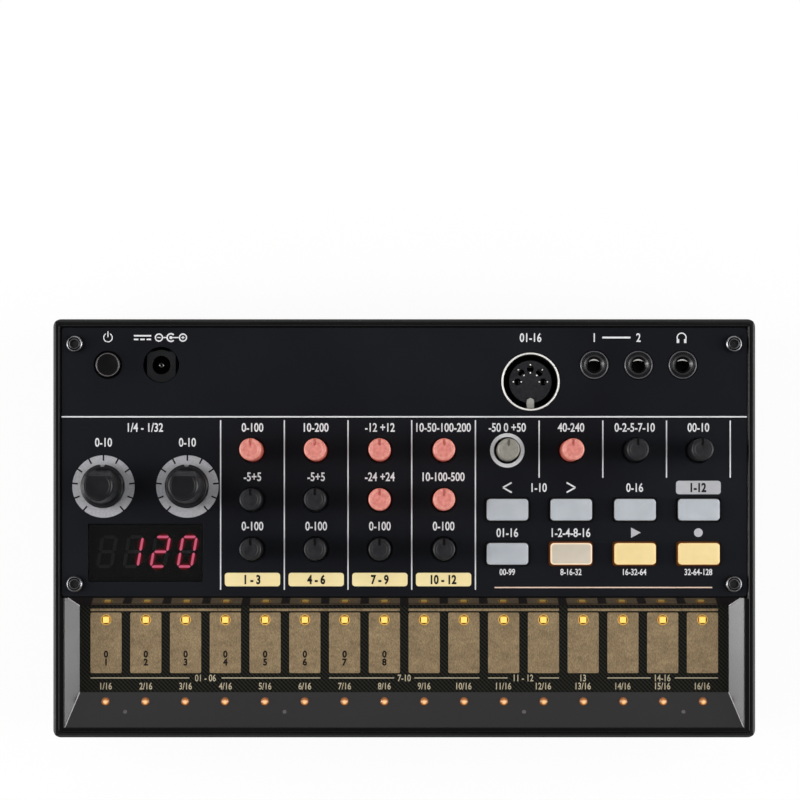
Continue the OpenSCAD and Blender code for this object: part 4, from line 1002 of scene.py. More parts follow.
def makeKnob(node, settings):
    low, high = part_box(node)
    middle = (low + high) / 2
    radius, top = (high.x - low.x) / 2, high.z
    body = turned(profileOf(settings["profile"], side=radius, foot=low.z, top=top), centre=middle)
    wide, long, deep = settings["notch"]
    start, foot = middle.y + radius - long, top - deep
    points = roundRect(wide, 4 * radius, wide * settings["notchCorner"],
                       centre=Vector((middle.x, start + 2 * radius, 0)))
    knob = markFromAxis(cutAway(body, slabMesh(points, foot, top + deep)), middle, radius)
    layer = knob.attributes.new("notch", "FLOAT", "POINT")  # the foot of the notch, where shade is painted darker
    inNotch = [abs(v.co.z - foot) < settings["nearFoot"] and v.co.y > start and abs(v.co.x - middle.x) < wide
               for v in knob.vertices]
    layer.data.foreach_set("value", [float(inside) for inside in inNotch])
    return knob


knobFinishes = {tone: finish("knob" + tone.capitalize(), knobSettings[tone + "Look"])
                for tone in ("black", "pink", "smoke")}
for node in knobNames:
    tone = next((tone for tone in ("pink", "smoke") if node in knobSettings[tone]), "black")
    addPiece(node.replace("_knob", "_cap"), makeKnob(node, knobSettings), knobFinishes[tone],
             [node], node)

dialSettings = {
    **sized(skirt=6, skirtHigh=2.6, grip=4.9, crown=4.2, bore=3.03, boreTop=40.1, flatTop=2.5, flatFoot=4.6,
            notch=0.75, flatLift=0.02, dentLift=0.01),
    "profile": [
        ("axis", 0, "boreTop", 0, 0), ("bore", 0, "boreTop", 0, 0), ("bore", 0, "foot", 0.1, 0.05),
        ("bore", 0.2, "foot", 0, 0.05), ("skirt", -0.2, "foot", 0, 0.1), ("skirt", 0, "foot", 0.25, 0.1),
        ("skirt", 0, "shoulder", -0.5, 0.25), ("skirt", -0.5, "shoulder", 0, 0.25),
        ("grip", 0, "shoulder", 0.02, 0.2), ("crown", 0, "top", -0.5, 0.25), ("crown", -0.5, "top", 0, 0.2),
        ("crown", -0.9, "top", 0, 0.05), ("crown", -1.0, "top", -0.08, 0.05), ("axis", 0, "top", -0.08, 0)],
    "look": grainLook("#0f0f12", "#161619", (0.3, 0.4), 2400, 200, (0.2, 0.03), Specular_IOR_Level=0.3),
}


def makeDial(node, settings):
    low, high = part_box(node)
    middle = Vector(((low.x + high.x) / 2, middleOf(node.replace("dial", "shaft")).y, 0))
    foot, top, skirt = low.z, high.z, settings["skirt"]
    shoulder = foot + settings["skirtHigh"]
    body = turned(profileOf(
        settings["profile"], bore=settings["bore"], skirt=skirt, grip=settings["grip"], foot=foot, top=top,
        crown=settings["crown"], boreTop=settings["boreTop"], shoulder=shoulder), turns=96, centre=middle)
    ledge, flatTop = shoulder + settings["flatLift"], settings["flatTop"]
    outline = [(settings["flatFoot"], ledge), (2 * skirt, ledge), (2 * skirt, top + mm), (flatTop, top + mm),
               (flatTop, top)]
    wedge = bmesh.new()
    bridge(wedge, [[wedge.verts.new((middle.x + side * 2 * skirt, middle.y + y, z)) for y, z in outline]
                   for side in (-1, 1)])
    dent = slabMesh(circlePoints(middle.x, middle.y + skirt, settings["notch"], steps=32), foot - mm,
                    shoulder + settings["dentLift"])
    return markFromAxis(cutAway(body, meshOf(wedge), dent), middle, skirt)


dialBlack = finish("dialBlack", dialSettings["look"])
for node in dialNames:
    addPiece(node + "_cap", makeDial(node, dialSettings), dialBlack, [node], node)
print("knobs and dials are made")


# Buttons

# painted shade: the sides of each key are darker than its top
sideShade = shade("glow", (0, "#ffffff"), (0.4, "#ffffff"), (0.5, "#7c746c"), (1, "#58504a"))
buttonSettings = {
    **sized(flangeThick=1.2, flangeLow=28.6, stem=1.6),
    "rings": [
        (0, 0.7, "base", 0, 1), (0, 0.7, "step", 0, 1), (1.84, 1, "step", 0, 1),
        (1.84, 1, "top", -0.75, 0.8), (1.87, 1, "top", -0.4, 0.5), (1.96, 1, "top", -0.27, 0.42),
        (2.14, 1, "top", -0.15, 0.36), (3.04, 0.6, "top", -0.06, 0.08), (5.04, 0.4, "top", 0, 0)],
    "stemProfile": [
        ("axis", 0, "foot", 0, 0), ("stem", 0, "foot", 0, 0), ("stem", 0, "base", 0, 0),
        ("axis", 0, "base", 0, 0)],
    "tones": {"step_button": "smoke", "play_button": "yellow", "record_button": "yellow"},
    "paleLook": grainLook("#a8adb3", "#b1b6bb", (0.4, 0.5), 1800, 250, (0.12, 0.02), tone=sideShade),
    # the glow is painted light round the top edge and down the sides of the key, which is no lamp
    "smokeLook": grainLook(
        "#bdb3a3", "#c8beae", (0.4, 0.5), 1800, 250, (0.12, 0.02), tone=sideShade,
        glow=shade("glow", (0, "#201a10"), (0.15, "#4a3826"), (0.38, "#ffdcae"), (0.48, "#b06c28"),
                   (1, "#6a3408"), strength=0.6)),
    # the glow is painted light over the key, brightest near its top edge, though the key is no lamp
    "yellowLook": grainLook(
        "#d2c08c", "#d9c796", (0.4, 0.5), 1800, 250, (0.12, 0.02), tone=sideShade,
        glow=shade("glow", (0, "#b08a40"), (0.36, "#e0b060"), (0.48, "#c07820"), (1, "#804008"),
                   strength=0.35)),
}


def makeButton(node, settings):
    low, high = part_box(node)
    middle = (low + high) / 2
    base = settings["flangeLow"]
    bm = bmesh.new()
    loft(bm, settings["rings"], high.x - low.x, high.y - low.y, middle, base=base,
         step=base + settings["flangeThick"], top=high.z)
    lathe(bm, profileOf(settings["stemProfile"], stem=settings["stem"], foot=low.z, base=base), middle,
          turns=32)
    return meshOf(bm)


buttonFinishes = {tone: finish("button" + tone.capitalize(), buttonSettings[tone + "Look"])
                  for tone in ("pale", "smoke", "yellow")}
for node in buttonNames:
    tone = buttonSettings["tones"].get(node, "pale")
    addPiece(node.replace("_button", "_key"), makeButton(node, buttonSettings), buttonFinishes[tone],
             [node], node)

powerSettings = {
    **sized(radius=3.4, flange=4.7),
    "profile": [
        ("axis", 0, "foot", 0, 0), ("stem", 0, "foot", 0, 0), ("stem", 0, "base", 0, 0),
        ("flange", 0, "base", 0, 0), ("flange", 0, "step", 0, 0), ("side", 0, "step", 0, 0),
        ("side", 0, "top", -0.25, 0.12), ("side", -0.25, "top", 0, 0.12), ("side", -0.4, "top", 0, 0.05),
        ("side", -0.55, "top", -0.2, 0.06), ("axis", 0, "top", -0.2, 0)],
    # the tone paints a bright ring of highlight on the rim of the top, round a dark face
    "look": grainLook(
        "#5c5658", "#666062", (0.3, 0.4), 2600, 200, (0.15, 0.02), Specular_IOR_Level=0.3,
        tone=shade("fromAxis", (0, "#0c0a0a"), (0.86, "#0c0a0a"), (0.89, "#ffffff"), (0.93, "#ffffff"),
                   (0.95, "#202020"))),
}


def makePower(settings):
    low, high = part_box("power_button")
    middle, base = (low + high) / 2, buttonSettings["flangeLow"]
    profile = profileOf(
        settings["profile"], stem=buttonSettings["stem"], flange=settings["flange"], side=settings["radius"],
        foot=low.z, base=base, step=base + buttonSettings["flangeThick"], top=high.z)
    return markFromAxis(turned(profile, centre=middle), middle, settings["radius"])


addPiece("power_key", makePower(powerSettings), finish("powerBlack", powerSettings["look"]),
         ["power_button"], "power_button")
print("buttons are made")


# Sockets

jackSettings = {
    **sized(nose=3.9, mouth=2.75, bore=1.8, bodyDrop=0.6, bodyCorner=0.4),
    "turns": 64,
    "profile": [
        ("bore", 0, "top", -13.5, 0), ("bore", 0, "top", -0.9, 0.05), ("mouth", -0.35, "top", -0.35, 0.1),
        ("mouth", 0, "top", 0, 0.12), ("mouth", 0.2, "top", 0, 0.05), ("mouth", 0.28, "top", -0.14, 0.03),
        ("mouth", 0.4, "top", -0.14, 0.03), ("mouth", 0.48, "top", 0, 0.05), ("nose", -0.3, "top", 0, 0.12),
        ("nose", 0, "top", -0.3, 0.12), ("nose", 0, "body", 0, 0)],
    "spring": {**sized(radius=1.72, reach=1.4, edge=1.32, drop=1.5, half=0.15), "tilt": 25, "steps": 16,
               "edgeSteps": 6},
    # the tone paints bright rings of highlight at the mouth and near the outer edge of each nose
    "look": grainLook(
        "#5a5a5e", "#66666a", (0.2, 0.3), 2600, 150, (0.12, 0.02), Specular_IOR_Level=0.4,
        tone=shade("fromAxis", (0, "#2a2a2a"), (0.58, "#303030"), (0.63, "#b4b4b4"), (0.7, "#404040"),
                   (0.9, "#4a4a4a"), (0.94, "#f4f4f4"), (0.98, "#d8d8d8"), (1, "#303030"))),
    "springLook": brushLook("#d2d0cc", "#e6e4e0", (0.22, 0.36), (900, 900, 60), (0.05, 0.01), Metallic=1),
}
dinSettings = {
    **sized(edge=0.08, wall=(7.4, 8.0), keyHalf=1.0, keyTip=4.4, keyShoulder=4.95, keyFoot=7.5, keyDrop=1.0,
            contactRing=3.6, tipReach=1.1, tip=0.21, spring=(0.55, 0.8), springDrop=3),
    "contacts": 5,
    "pitch": 45,  # degrees between the contacts
    "springHalf": 40,
    "rollSteps": 12,
    "tipProfile": [
        ("axis", 0, "face", -0.3, 0), ("tip", 0, "face", -0.3, 0), ("tip", 0, "face", 0.2, 0.18),
        ("axis", 0, "face", 0.22, 0)],
    # the tone paints shade on the inside of the shell
    "rimLook": grainLook(
        "#dedcd8", "#eceae6", (0.5, 0.6), 2600, 300, (0.05, 0.01), Metallic=0.15,
        tone=shade("fromAxis", (0, "#202020"), (0.93, "#202020"), (0.95, "#ffffff"), (1, "#ffffff"))),
    # the key is painted darker than the shell's rim: painted shade inside the shell
    "keyLook": brushLook("#94928c", "#a6a49e", (0.4, 0.5), (900, 900, 60), (0.05, 0.01), Metallic=0.3),
    "blockLook": grainLook("#0e0e12", "#1e1e23", (0.45, 0.6), 1500, 1400, (0.4, 0.04),
                           Specular_IOR_Level=0.3),
    # near-white tips: painted glints at the contact holes
    "tipLook": brushLook("#e8e6e2", "#fbfaf7", (0.3, 0.4), (900, 900, 60), (0.05, 0.01), Metallic=0.2),
}
dcSettings = {
    **sized(collarEdge=0.12, pinEdge=0.05, radius=4.78, side=3.9, rear=3.65, bore=2.6, thick=0.5, rise=0.02,
            faceEdge=0.06),
    "look": grainLook("#0d0e10", "#131416", (0.42, 0.52), 2400, 150, (0.16, 0.02), Specular_IOR_Level=0.25),
    # the tone paints a bright ring of highlight round a darkened middle of the pin
    "pinLook": grainLook(
        "#868482", "#969492", (0.25, 0.35), 2500, 300, (0.1, 0.01), Metallic=1,
        tone=shade("fromAxis", (0, "#181818"), (0.45, "#202020"), (0.62, "#ffffff"), (0.8, "#c0c0c0"),
                   (1, "#505050"))),
}


def jackRow(unit, finishUsed):
    return grown(rowTree, unit, Finish=finishUsed, Count=len(jackX), First=(jackX[0], jackY, 0),
                 Step=(jackX[1] - jackX[0], 0, 0))


def makeJacks(settings, finishUsed):
    low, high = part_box("phone_jacks")
    bodyTop, turns, side = panelLow.z - settings["bodyDrop"], settings["turns"], panelSettings["jackBody"]
    bm = bmesh.new()
    lathe(bm, profileOf(settings["profile"], bore=settings["bore"], mouth=settings["mouth"],
                        nose=settings["nose"], top=high.z, body=bodyTop), turns=turns)
    bm.verts.ensure_lookup_table()
    boreFoot, collar = bm.verts[:turns], bm.verts[-turns:]
    outline = roundRect(side, side, settings["bodyCorner"], steps=turns // 4 - 1)
    square, foot = ([bm.verts.new((x, y, z)) for x, y in outline] for z in (bodyTop, low.z))
    bridge(bm, [collar, square, foot], lids=False)
    bm.faces.new(boreFoot)
    bm.faces.new(foot)
    return jackRow(markFromAxis(meshOf(bm), origin, settings["nose"]), finishUsed)


def makeSprings(settings, finishUsed):
    # the tip spring of a jack, a bright crescent at the rear of its mouth
    radius, reach, edge, half = (settings[key] for key in ("radius", "reach", "edge", "half"))
    steps, edgeSteps = settings["steps"], settings["edgeSteps"]
    side = math.asin(math.sqrt(radius ** 2 - reach ** 2) / radius)
    bend = (edge - radius * math.sin(side)) / reach ** 2
    angles = [side + (math.pi - 2 * side) * k / steps for k in range(steps + 1)]
    outline = [(radius * math.cos(a), radius * math.sin(a)) for a in angles]
    for k in range(1, 2 * edgeSteps):
        x = reach * (k / edgeSteps - 1)
        outline.append((x, edge - bend * x * x))
    unit = slabMesh(outline, -half, half)
    pivot = Matrix.Translation((0, edge, 0))
    turn = pivot @ Matrix.Rotation(math.radians(settings["tilt"]), 4, "X") @ pivot.inverted()
    unit.transform(Matrix.Translation((0, 0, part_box("phone_jacks")[1].z - settings["drop"])) @ turn)
    return jackRow(unit, finishUsed)


def makeDinRing(settings):
    # a drawn shell with a rolled rim
    low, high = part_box("din_shell")
    middle, (inner, outer) = middleOf("din_insert"), settings["wall"]
    roll, steps = (outer - inner) / 2, settings["rollSteps"]
    profile = [(inner, low.z), (outer, low.z)]
    for k in range(steps + 1):
        a = math.pi * k / steps
        profile.append((inner + roll + roll * math.cos(a), high.z - roll + roll * math.sin(a)))
    return markFromAxis(turned(profile, turns=96, centre=middle, ring=True), middle, outer)


def makeDinKey(settings):
    # the key at the front of the shell
    low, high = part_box("din_shell")
    middle = middleOf("din_insert")
    half, foot, shoulder = settings["keyHalf"], settings["keyFoot"], settings["keyShoulder"]
    outline = [(-half, -foot), (half, -foot), (half, -shoulder), (0, -settings["keyTip"]), (-half, -shoulder)]
    return slabMesh([(middle.x + x, middle.y + y) for x, y in outline], low.z, high.z - settings["keyDrop"])


def makeDinContacts(settings):
    # each contact is a split spring, so two round tips show beside its hole; their near-white colour is a
    # painted glint at both ends of the hole
    low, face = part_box("din_contacts")[0].z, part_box("din_insert")[1].z
    middle, ring = middleOf("din_insert"), settings["contactRing"]
    tip = profileOf(settings["tipProfile"], tip=settings["tip"], face=face)
    bm = bmesh.new()
    for k in range(settings["contacts"]):
        angle = settings["pitch"] * k
        way = Vector((math.cos(math.radians(angle)), math.sin(math.radians(angle)), 0))
        for side in (-1, 1):
            lathe(bm, tip, middle + way * (ring + side * settings["tipReach"]), turns=20)
        for turn in (angle, angle + 180):
            arcBand(bm, middle + way * ring, *settings["spring"], turn - settings["springHalf"],
                    turn + settings["springHalf"], low, face - settings["springDrop"], steps=10)
    return meshOf(bm)


def makeDcFace(settings):
    # the face of the power socket, flattened at its rear and its sides
    side, top, middle = settings["side"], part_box("dc_socket")[1].z, middleOf("dc_pin")
    outline = [(max(-side, min(side, x)), min(settings["rear"], y))
               for x, y in circlePoints(0, 0, settings["radius"], steps=120)]
    plate = flatUnit([outline, circlePoints(0, 0, settings["bore"])], top - settings["thick"],
                     top + settings["rise"], settings["faceEdge"])
    plate.transform(Matrix.Translation((middle.x, middle.y, 0)))
    return plate


socketMetal = finish("socketMetal", jackSettings["springLook"])
socketBlack = finish("socketBlack", jackSettings["look"])
dcFinish = finish("dcBlack", dcSettings["look"])
pinMiddle = middleOf("dc_pin")
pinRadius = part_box("dc_pin")[1].x - pinMiddle.x
addPiece("jack_noses", makeJacks(jackSettings, socketBlack), socketBlack, ["phone_jacks"])
addPiece("jack_springs", makeSprings(jackSettings["spring"], socketMetal), socketMetal)
addPiece("din_ring", makeDinRing(dinSettings), finish("rimMetal", dinSettings["rimLook"]),
         ["din_shell"])
addPiece("din_key", makeDinKey(dinSettings), finish("keyMetal", dinSettings["keyLook"]))
addPiece("din_block", softCopy("din_insert", dinSettings["edge"]),
         finish("dinBlock", dinSettings["blockLook"]), ["din_insert"])
addPiece("din_tips", makeDinContacts(dinSettings), finish("contactMetal", dinSettings["tipLook"]),
         ["din_contacts"])
addPiece("dc_collar", softCopy("dc_socket", dcSettings["collarEdge"]), dcFinish,
         ["dc_socket"])
addPiece("dc_face", makeDcFace(dcSettings), dcFinish)
addPiece("dc_centre", markFromAxis(softCopy("dc_pin", dcSettings["pinEdge"]), pinMiddle, pinRadius),
         finish("pinMetal", dcSettings["pinLook"]), ["dc_pin"])
print("sockets are made")


# Panel screws

screwSettings = {
    **sized(headHigh=1.6, shank=1.3, hexFlats=2, hexDeep=1, groove=(1.8, 1.5)),
    "profile": [
        ("axis", 0, "foot", 0, 0), ("shank", -0.3, "foot", 0, 0), ("shank", 0, "foot", 0.4, 0),
        ("shank", 0, "seat", 0, 0), ("head", 0, "seat", 0, 0.05), ("head", 0, "top", -0.45, 0.25),
        ("head", -0.35, "top", 0, 0.15), ("outer", 0, "top", 0, 0.05), ("outer", -0.08, "top", -0.2, 0.05),
        ("inner", 0, "top", -0.2, 0.05), ("inner", -0.08, "top", -0.02, 0.05),
        ("axis", 0, "top", -0.02, 0)],
    # the tone paints bright rings of highlight round the hex socket and near the head's rim of a dark screw
    "look": grainLook(
        "#b6b6ba", "#c8c8cc", (0.24, 0.34), 2600, 300, (0.08, 0.01), Metallic=1,
        tone=shade("fromAxis", (0, "#0c0c0c"), (0.5, "#141414"), (0.54, "#c8c8c8"), (0.64, "#a0a0a0"),
                   (0.68, "#181818"), (0.78, "#181818"), (0.82, "#e0e0e0"), (0.93, "#ffffff"),
                   (1, "#404040"))),
}


def makeScrews(settings, finishUsed):
    low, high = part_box("panel_screws")
    head, top, (outer, inner) = panelSettings["screwHead"], high.z, settings["groove"]
    body = turned(profileOf(settings["profile"], shank=settings["shank"], head=head, outer=outer, inner=inner,
                            foot=low.z, seat=top - settings["headHigh"], top=top), turns=48)
    hexagon = circlePoints(0, 0, settings["hexFlats"] / math.sqrt(3), steps=6)
    cut = slabMesh(hexagon, top - settings["hexDeep"], top + mm)
    return onCorners(markFromAxis(cutAway(body, cut), origin, head), "panel_screws", head, finishUsed)


screwBlack = finish("screwBlack", screwSettings["look"])
addPiece("hex_screws", makeScrews(screwSettings, screwBlack), screwBlack, ["panel_screws"])
print("panel screws are made")


# Touch strip

padSettings = {
    **sized(wide=8.6, deep=16.75, corner=0.4, hole=1.35, barDeep=0.67, barCorner=0.1, edge=0.02),
    "count": 16,
    "perBar": 4,
    "look": brushLook("#62513a", "#a7906c", (0.42, 0.58), (4600, 1900, 200), (0.15, 0.02),
                      across=(320, 520, 200), cross=0.3, Metallic=0.3),
}
padLow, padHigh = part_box("step_pads")
padStep = (padHigh.x - padLow.x - padSettings["wide"]) / (padSettings["count"] - 1)
padX = [padLow.x + padSettings["wide"] / 2 + k * padStep for k in range(padSettings["count"])]
padY = padLow.y + padSettings["deep"] / 2
ledY = middleOf("step_leds").y


def padRow(unit, y, finishUsed):
    # a unit at each pad
    return grown(rowTree, unit, Finish=finishUsed, Count=len(padX), First=(padX[0], y, 0),
                 Step=(padStep, 0, 0))


def makePads(settings, finishUsed):
    edge, perBar = settings["edge"], settings["perBar"]
    outline = roundRect(settings["wide"] - 2 * edge, settings["deep"] - 2 * edge, settings["corner"])
    hole = circlePoints(0, ledY - padY, settings["hole"] + edge, steps=40)
    pad = flatUnit([outline, hole], padLow.z, padHigh.z, edge)
    group = (perBar - 1) * padStep
    outline = roundRect(group + settings["wide"] - 2 * edge, settings["barDeep"] - 2 * edge,
                        settings["barCorner"])
    bar = flatUnit([outline], padLow.z, padHigh.z, edge)
    bars = grown(rowTree, bar, Finish=finishUsed, Count=len(padX) // perBar, Step=(perBar * padStep, 0, 0),
                 First=(padX[0] + group / 2, padHigh.y - settings["barDeep"] / 2, 0))
    return joined(padRow(pad, padY, finishUsed), bars)


padGold = finish("padGold", padSettings["look"])
addPiece("touch_pads", makePads(padSettings, padGold), padGold, ["step_pads"])

lampSettings = {
    **sized(chip=1.78, chipRise=0.2, lens=1.0, dome=0.5, spark=(0.05, -0.14), well=(0.95, 1.33),
            bezel=(1.22, 1.48), bezelHigh=0.04, halo=(1.02, 1.22), haloEnds=(-0.05, 0.06), pinMark=0.55,
            pinY=-50.6),
    "domeSteps": 8,
    "ringSlope": 0.25,  # of the width of a ring, on each side
    "pinPairs": (3, 7),
    "chipRings": [
        (0, 0.3, "foot", 0, 1), (0, 0.3, "top", -0.3, 0.8), (0, 0.3, "top", -0.06, 0.45),
        (0.12, 0.28, "top", 0, 0.25), (0.5, 0.2, "top", 0, 0)],
    "wellProfile": [
        ("inner", 0, "foot", 0, 0), ("outer", 0, "foot", 0, 0), ("outer", 0, "top", -0.12, 0),
        ("outer", -0.11, "top", -0.3, 0), ("inner", 0, "top", -0.55, 0)],
    "pinProfile": [
        ("axis", 0, "level", -0.05, 0), ("side", 0, "level", -0.05, 0), ("side", 0, "level", 0.01, 0),
        ("side", -0.165, "level", 0.04, 0), ("axis", 0, "level", 0.05, 0)],
    "pinLook": grainLook("#4c484c", "#5c575c", (0.4, 0.5), 2500, 900, (0.1, 0.02)),
    "chipLook": grainLook(
        "#6a5a28", "#766530", (0.3, 0.4), 2500, 600, (0.05, 0.01),
        glow=shade("glow", (0, "#f7da70"), (0.3, "#f0c850"), (0.55, "#ec7a28"), (1, "#f04814"))),
    "wellLook": grainLook("#0c0702", "#160d04", (0.5, 0.6), 2500, 600, (0.05, 0.01), Specular_IOR_Level=0.2),
    # gold colour: painted light on the rim of each pad's hole
    "bezelLook": grainLook("#cf9c3c", "#dcae4c", (0.3, 0.4), 2500, 900, (0.05, 0.01)),
    # the glow is painted light in the dome, which is no lamp, and its bright spot, set off the axis, is a
    # painted highlight
    "lensLook": grainLook(
        "#8a5a30", "#966438", (0.12, 0.2), 2500, 600, (0.03, 0.01),
        glow=shade("fromAxis", (0, "#ffe8c0"), (0.35, "#f8c888"), (0.62, "#b8743a"), (0.8, "#3a1c0a"),
                   (1, "#5a2c10"), strength=0.8)),
    "haloLook": grainLook("#6a3c1e", "#7c4a28", (0.25, 0.35), 2500, 900, (0.05, 0.01),
                          Specular_IOR_Level=0.6),
}


def ringUnit(radii, low, high):
    # a flat ring with slanted sides
    inner, outer = radii
    slope = (outer - inner) * lampSettings["ringSlope"]
    profile = [(inner, low), (outer, low), (outer - slope, high), (inner + slope, high)]
    return turned(profile, turns=40, ring=True)


def rowOnSlope(unit, y, firstX, step, count, finishUsed):
    # units on the slope of the front bevel, tipped with it
    (footY, footZ), (topY, topZ) = recessSettings["frontFoot"][1:], recessSettings["frontTop"][1:]
    rise = (topZ - footZ) / (footY - topY)
    unit.transform(Matrix.Rotation(-math.atan(rise), 4, "X"))
    return grown(rowTree, unit, Finish=finishUsed, Count=count, First=(firstX, y, footZ + (footY - y) * rise),
                 Step=(step, 0, 0))


def makeChips(settings, finishUsed):
    bm = bmesh.new()
    loft(bm, settings["chipRings"], settings["chip"], settings["chip"], foot=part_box("step_leds")[0].z,
         top=padTop + settings["chipRise"])
    return padRow(meshOf(bm), ledY, finishUsed)


def makeWells(settings, finishUsed):
    # a dark ring round each chip, at the foot of its hole
    inner, outer = settings["well"]
    profile = profileOf(settings["wellProfile"], inner=inner, outer=outer, foot=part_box("touch_plate")[0].z,
                        top=plateTop)
    return padRow(turned(profile, turns=40, ring=True), ledY, finishUsed)


# a raised ring round each pad's hole, its gold colour painted light on the rim of the hole
def makeBezels(settings, finishUsed):
    return padRow(ringUnit(settings["bezel"], padTop, padTop + settings["bezelHigh"]), ledY, finishUsed)


def makeHalos(settings, finishUsed):
    unit = ringUnit(settings["halo"], *settings["haloEnds"])
    return rowOnSlope(unit, middleOf("bevel_lenses").y, padX[0], padStep, len(padX), finishUsed)


def makePinMarks(settings, finishUsed):
    # faint marks of the mould pins, each midway between two domes
    rows = []
    for pair in settings["pinPairs"]:
        unit = turned(profileOf(settings["pinProfile"], side=settings["pinMark"], level=0), turns=24)
        rows.append(rowOnSlope(unit, settings["pinY"], -pair * padStep, 2 * pair * padStep, 2, finishUsed))
    return joined(*rows)


def makeLenses(settings, finishUsed):
    low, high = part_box("bevel_lenses")
    radius, dome, steps = settings["lens"], settings["dome"], settings["domeSteps"]
    profile = [(0, low.z), (radius, low.z), (radius, high.z - dome)]
    ball = (radius * radius + dome * dome) / (2 * dome)
    widest = math.asin(radius / ball)
    for k in range(1, steps + 1):
        a = widest * (1 - k / steps)
        profile.append((ball * math.sin(a), high.z - ball + ball * math.cos(a)))
    # the shares are measured from a spot off the axis, which places the painted highlight
    unit = markFromAxis(turned(profile, turns=32), Vector((*settings["spark"], 0)), radius)
    return padRow(unit, (low.y + high.y) / 2, finishUsed)


for name, make, tone, look, slot, stands in (
        ("pad_lights", makeChips, "chipAmber", "chipLook", "amber_light", ["step_leds"]),
        ("light_wells", makeWells, "wellAmber", "wellLook", "amber_light", []),
        ("light_bezels", makeBezels, "bezelGold", "bezelLook", "amber_light", []),
        ("dome_halos", makeHalos, "haloAmber", "haloLook", "amber_lens", []),
        ("pin_marks", makePinMarks, "pinBlack", "pinLook", "frame_black", []),
        ("amber_domes", makeLenses, "lensAmber", "lensLook", "amber_lens", ["bevel_lenses"])):
    lampFinish = finish(tone, lampSettings[look])
    addPiece(name, make(lampSettings, lampFinish), lampFinish, stands)

stripSettings = {
    **sized(capHigh=1.8, markHigh=1.75, lineY=-41.4, lineWide=0.28, titleY=-43.65, markY=(-34.8, -37.0),
            figureHalf=0.55, figureRoom=0.6),
    "groups": [(1, 6, "01 - 06"), (7, 10, "7-10"), (11, 12, "11 - 12"), (14, 16, "14-16")],
    "lone": 13,
    "marked": 8,
    "markSqueeze": 0.92,
    "markBold": 0.045,
    "beige": grainLook("#9c917a", "#aca087", (0.5, 0.6), 3500, 200, (0.1, 0.01)),
    "mark": grainLook("#0a0805", "#130f09", (0.5, 0.6), 3500, 200, (0.1, 0.01), Specular_IOR_Level=0.2),
    "plate": effectLook("twill", ("#000000", "#262621"), (0.4, 0.55), (0.6, 0.06), {"Rib Scale": 380},
                        {"Specular_IOR_Level": 0.06}),
}


def makeStripPrint(settings):
    low, thick, half = plateTop, inkSettings["thick"], padSettings["wide"] / 2
    lineY = settings["lineY"]
    bm = bmesh.new()
    texts = []
    for first, last, words in settings["groups"]:
        start, end = padX[first - 1] - half, padX[last - 1] + half
        middle = (start + end) / 2
        gap = len(words) * settings["figureHalf"] + settings["figureRoom"]
        for left, right in ((start, middle - gap), (middle + gap, end)):
            stroke(bm, (left, lineY), (right, lineY), settings["lineWide"], low, low + thick)
        texts.append((words, middle, lineY))
    texts.append((str(settings["lone"]), padX[settings["lone"] - 1], lineY))
    texts += [(f"{k + 1}/{len(padX)}", x, settings["titleY"]) for k, x in enumerate(padX)]
    figures = [textMesh(words, (x, y), settings["capHigh"], low, thick) for words, x, y in texts]
    return joined(meshOf(bm), *figures)


def makePadMarks(settings):
    texts = []
    for k, x in enumerate(padX[:settings["marked"]]):
        for words, y in zip(("0", str(k + 1)), settings["markY"]):
            texts.append(textMesh(words, (x, y), settings["markHigh"], padTop, inkSettings["thick"],
                                  settings["markSqueeze"], settings["markBold"]))
    return joined(*texts)


addPiece("strip_print", makeStripPrint(stripSettings), finish("inkBeige", stripSettings["beige"]))
addPiece("pad_marks", makePadMarks(stripSettings), finish("inkMark", stripSettings["mark"]))
print("touch strip is made")


# Display

displaySettings = {
    **sized(glassThick=0.65, digitX=(-10.75, -3.45, 3.95, 11.35), digitY=0.25, half=(1.87, 4.07), gap=0.1),
    "glassRings": [
        (0.1, 0.3, "base", 0, 0), (0, 0.3, "base", 0.05, 0), (0, 0.3, "top", -0.08, 0),
        (0.16, 0.3, "top", 0, 0)],
    # outlines of a bar from foot to top: half its width, how much shorter, height, place in the glow
    "rings": {
        True: [(1.25, 0, 0, 1), (1.25, 0, 0.02, 1), (0.8, 0.02, 0.03, 0.7), (0.42, 0.06, 0.05, 0.4),
               (0.28, 0.12, 0.06, 0.1), (0.2, 0.16, 0.07, 0)],
        False: [(0.475, 0, 0, 1), (0.475, 0, 0.06, 1), (0.17, 0.05, 0.08, 0)],
    },
    "slant": 10,
    "shown": ["", "bc", "abged", "abcdef"],
    "glass": grainLook("#a4a6a4", "#acaeac", (0.02, 0.05), 1200, 60, (0.01, 0.01),
                       Transmission_Weight=1.0, IOR=1.49),
    "lit": grainLook(
        "#060405", "#0a0608", (0.5, 0.6), 2000, 300, (0.05, 0.01), Specular_IOR_Level=0.2,
        glow=shade("glow", (0, "#fa7098"), (0.1, "#ee688c"), (0.34, "#86000e"), (0.7, "#3c0003"),
                   (1, "#1c0000"), strength=1.6)),
    "unlit": grainLook("#4e4d50", "#565558", (0.4, 0.5), 2000, 300, (0.05, 0.01)),
    "block": grainLook("#0c0c0d", "#111112", (0.5, 0.6), 2400, 200, (0.1, 0.02), Specular_IOR_Level=0.2),
}


def makeGlass(settings):
    low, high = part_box("display_window")
    bm = bmesh.new()
    loft(bm, settings["glassRings"], high.x - low.x, high.y - low.y, (low + high) / 2,
         base=high.z - settings["glassThick"], top=high.z)
    return meshOf(bm)


def segmentBars(settings):
    # name, centre and direction of the seven bars of a figure, upright
    x, y = settings["half"]
    return {
        "a": ((0, y), "across"), "g": ((0, 0), "across"), "d": ((0, -y), "across"),
        "b": ((x, y / 2), "up"), "c": ((x, -y / 2), "up"),
        "f": ((-x, y / 2), "up"), "e": ((-x, -y / 2), "up"),
    }


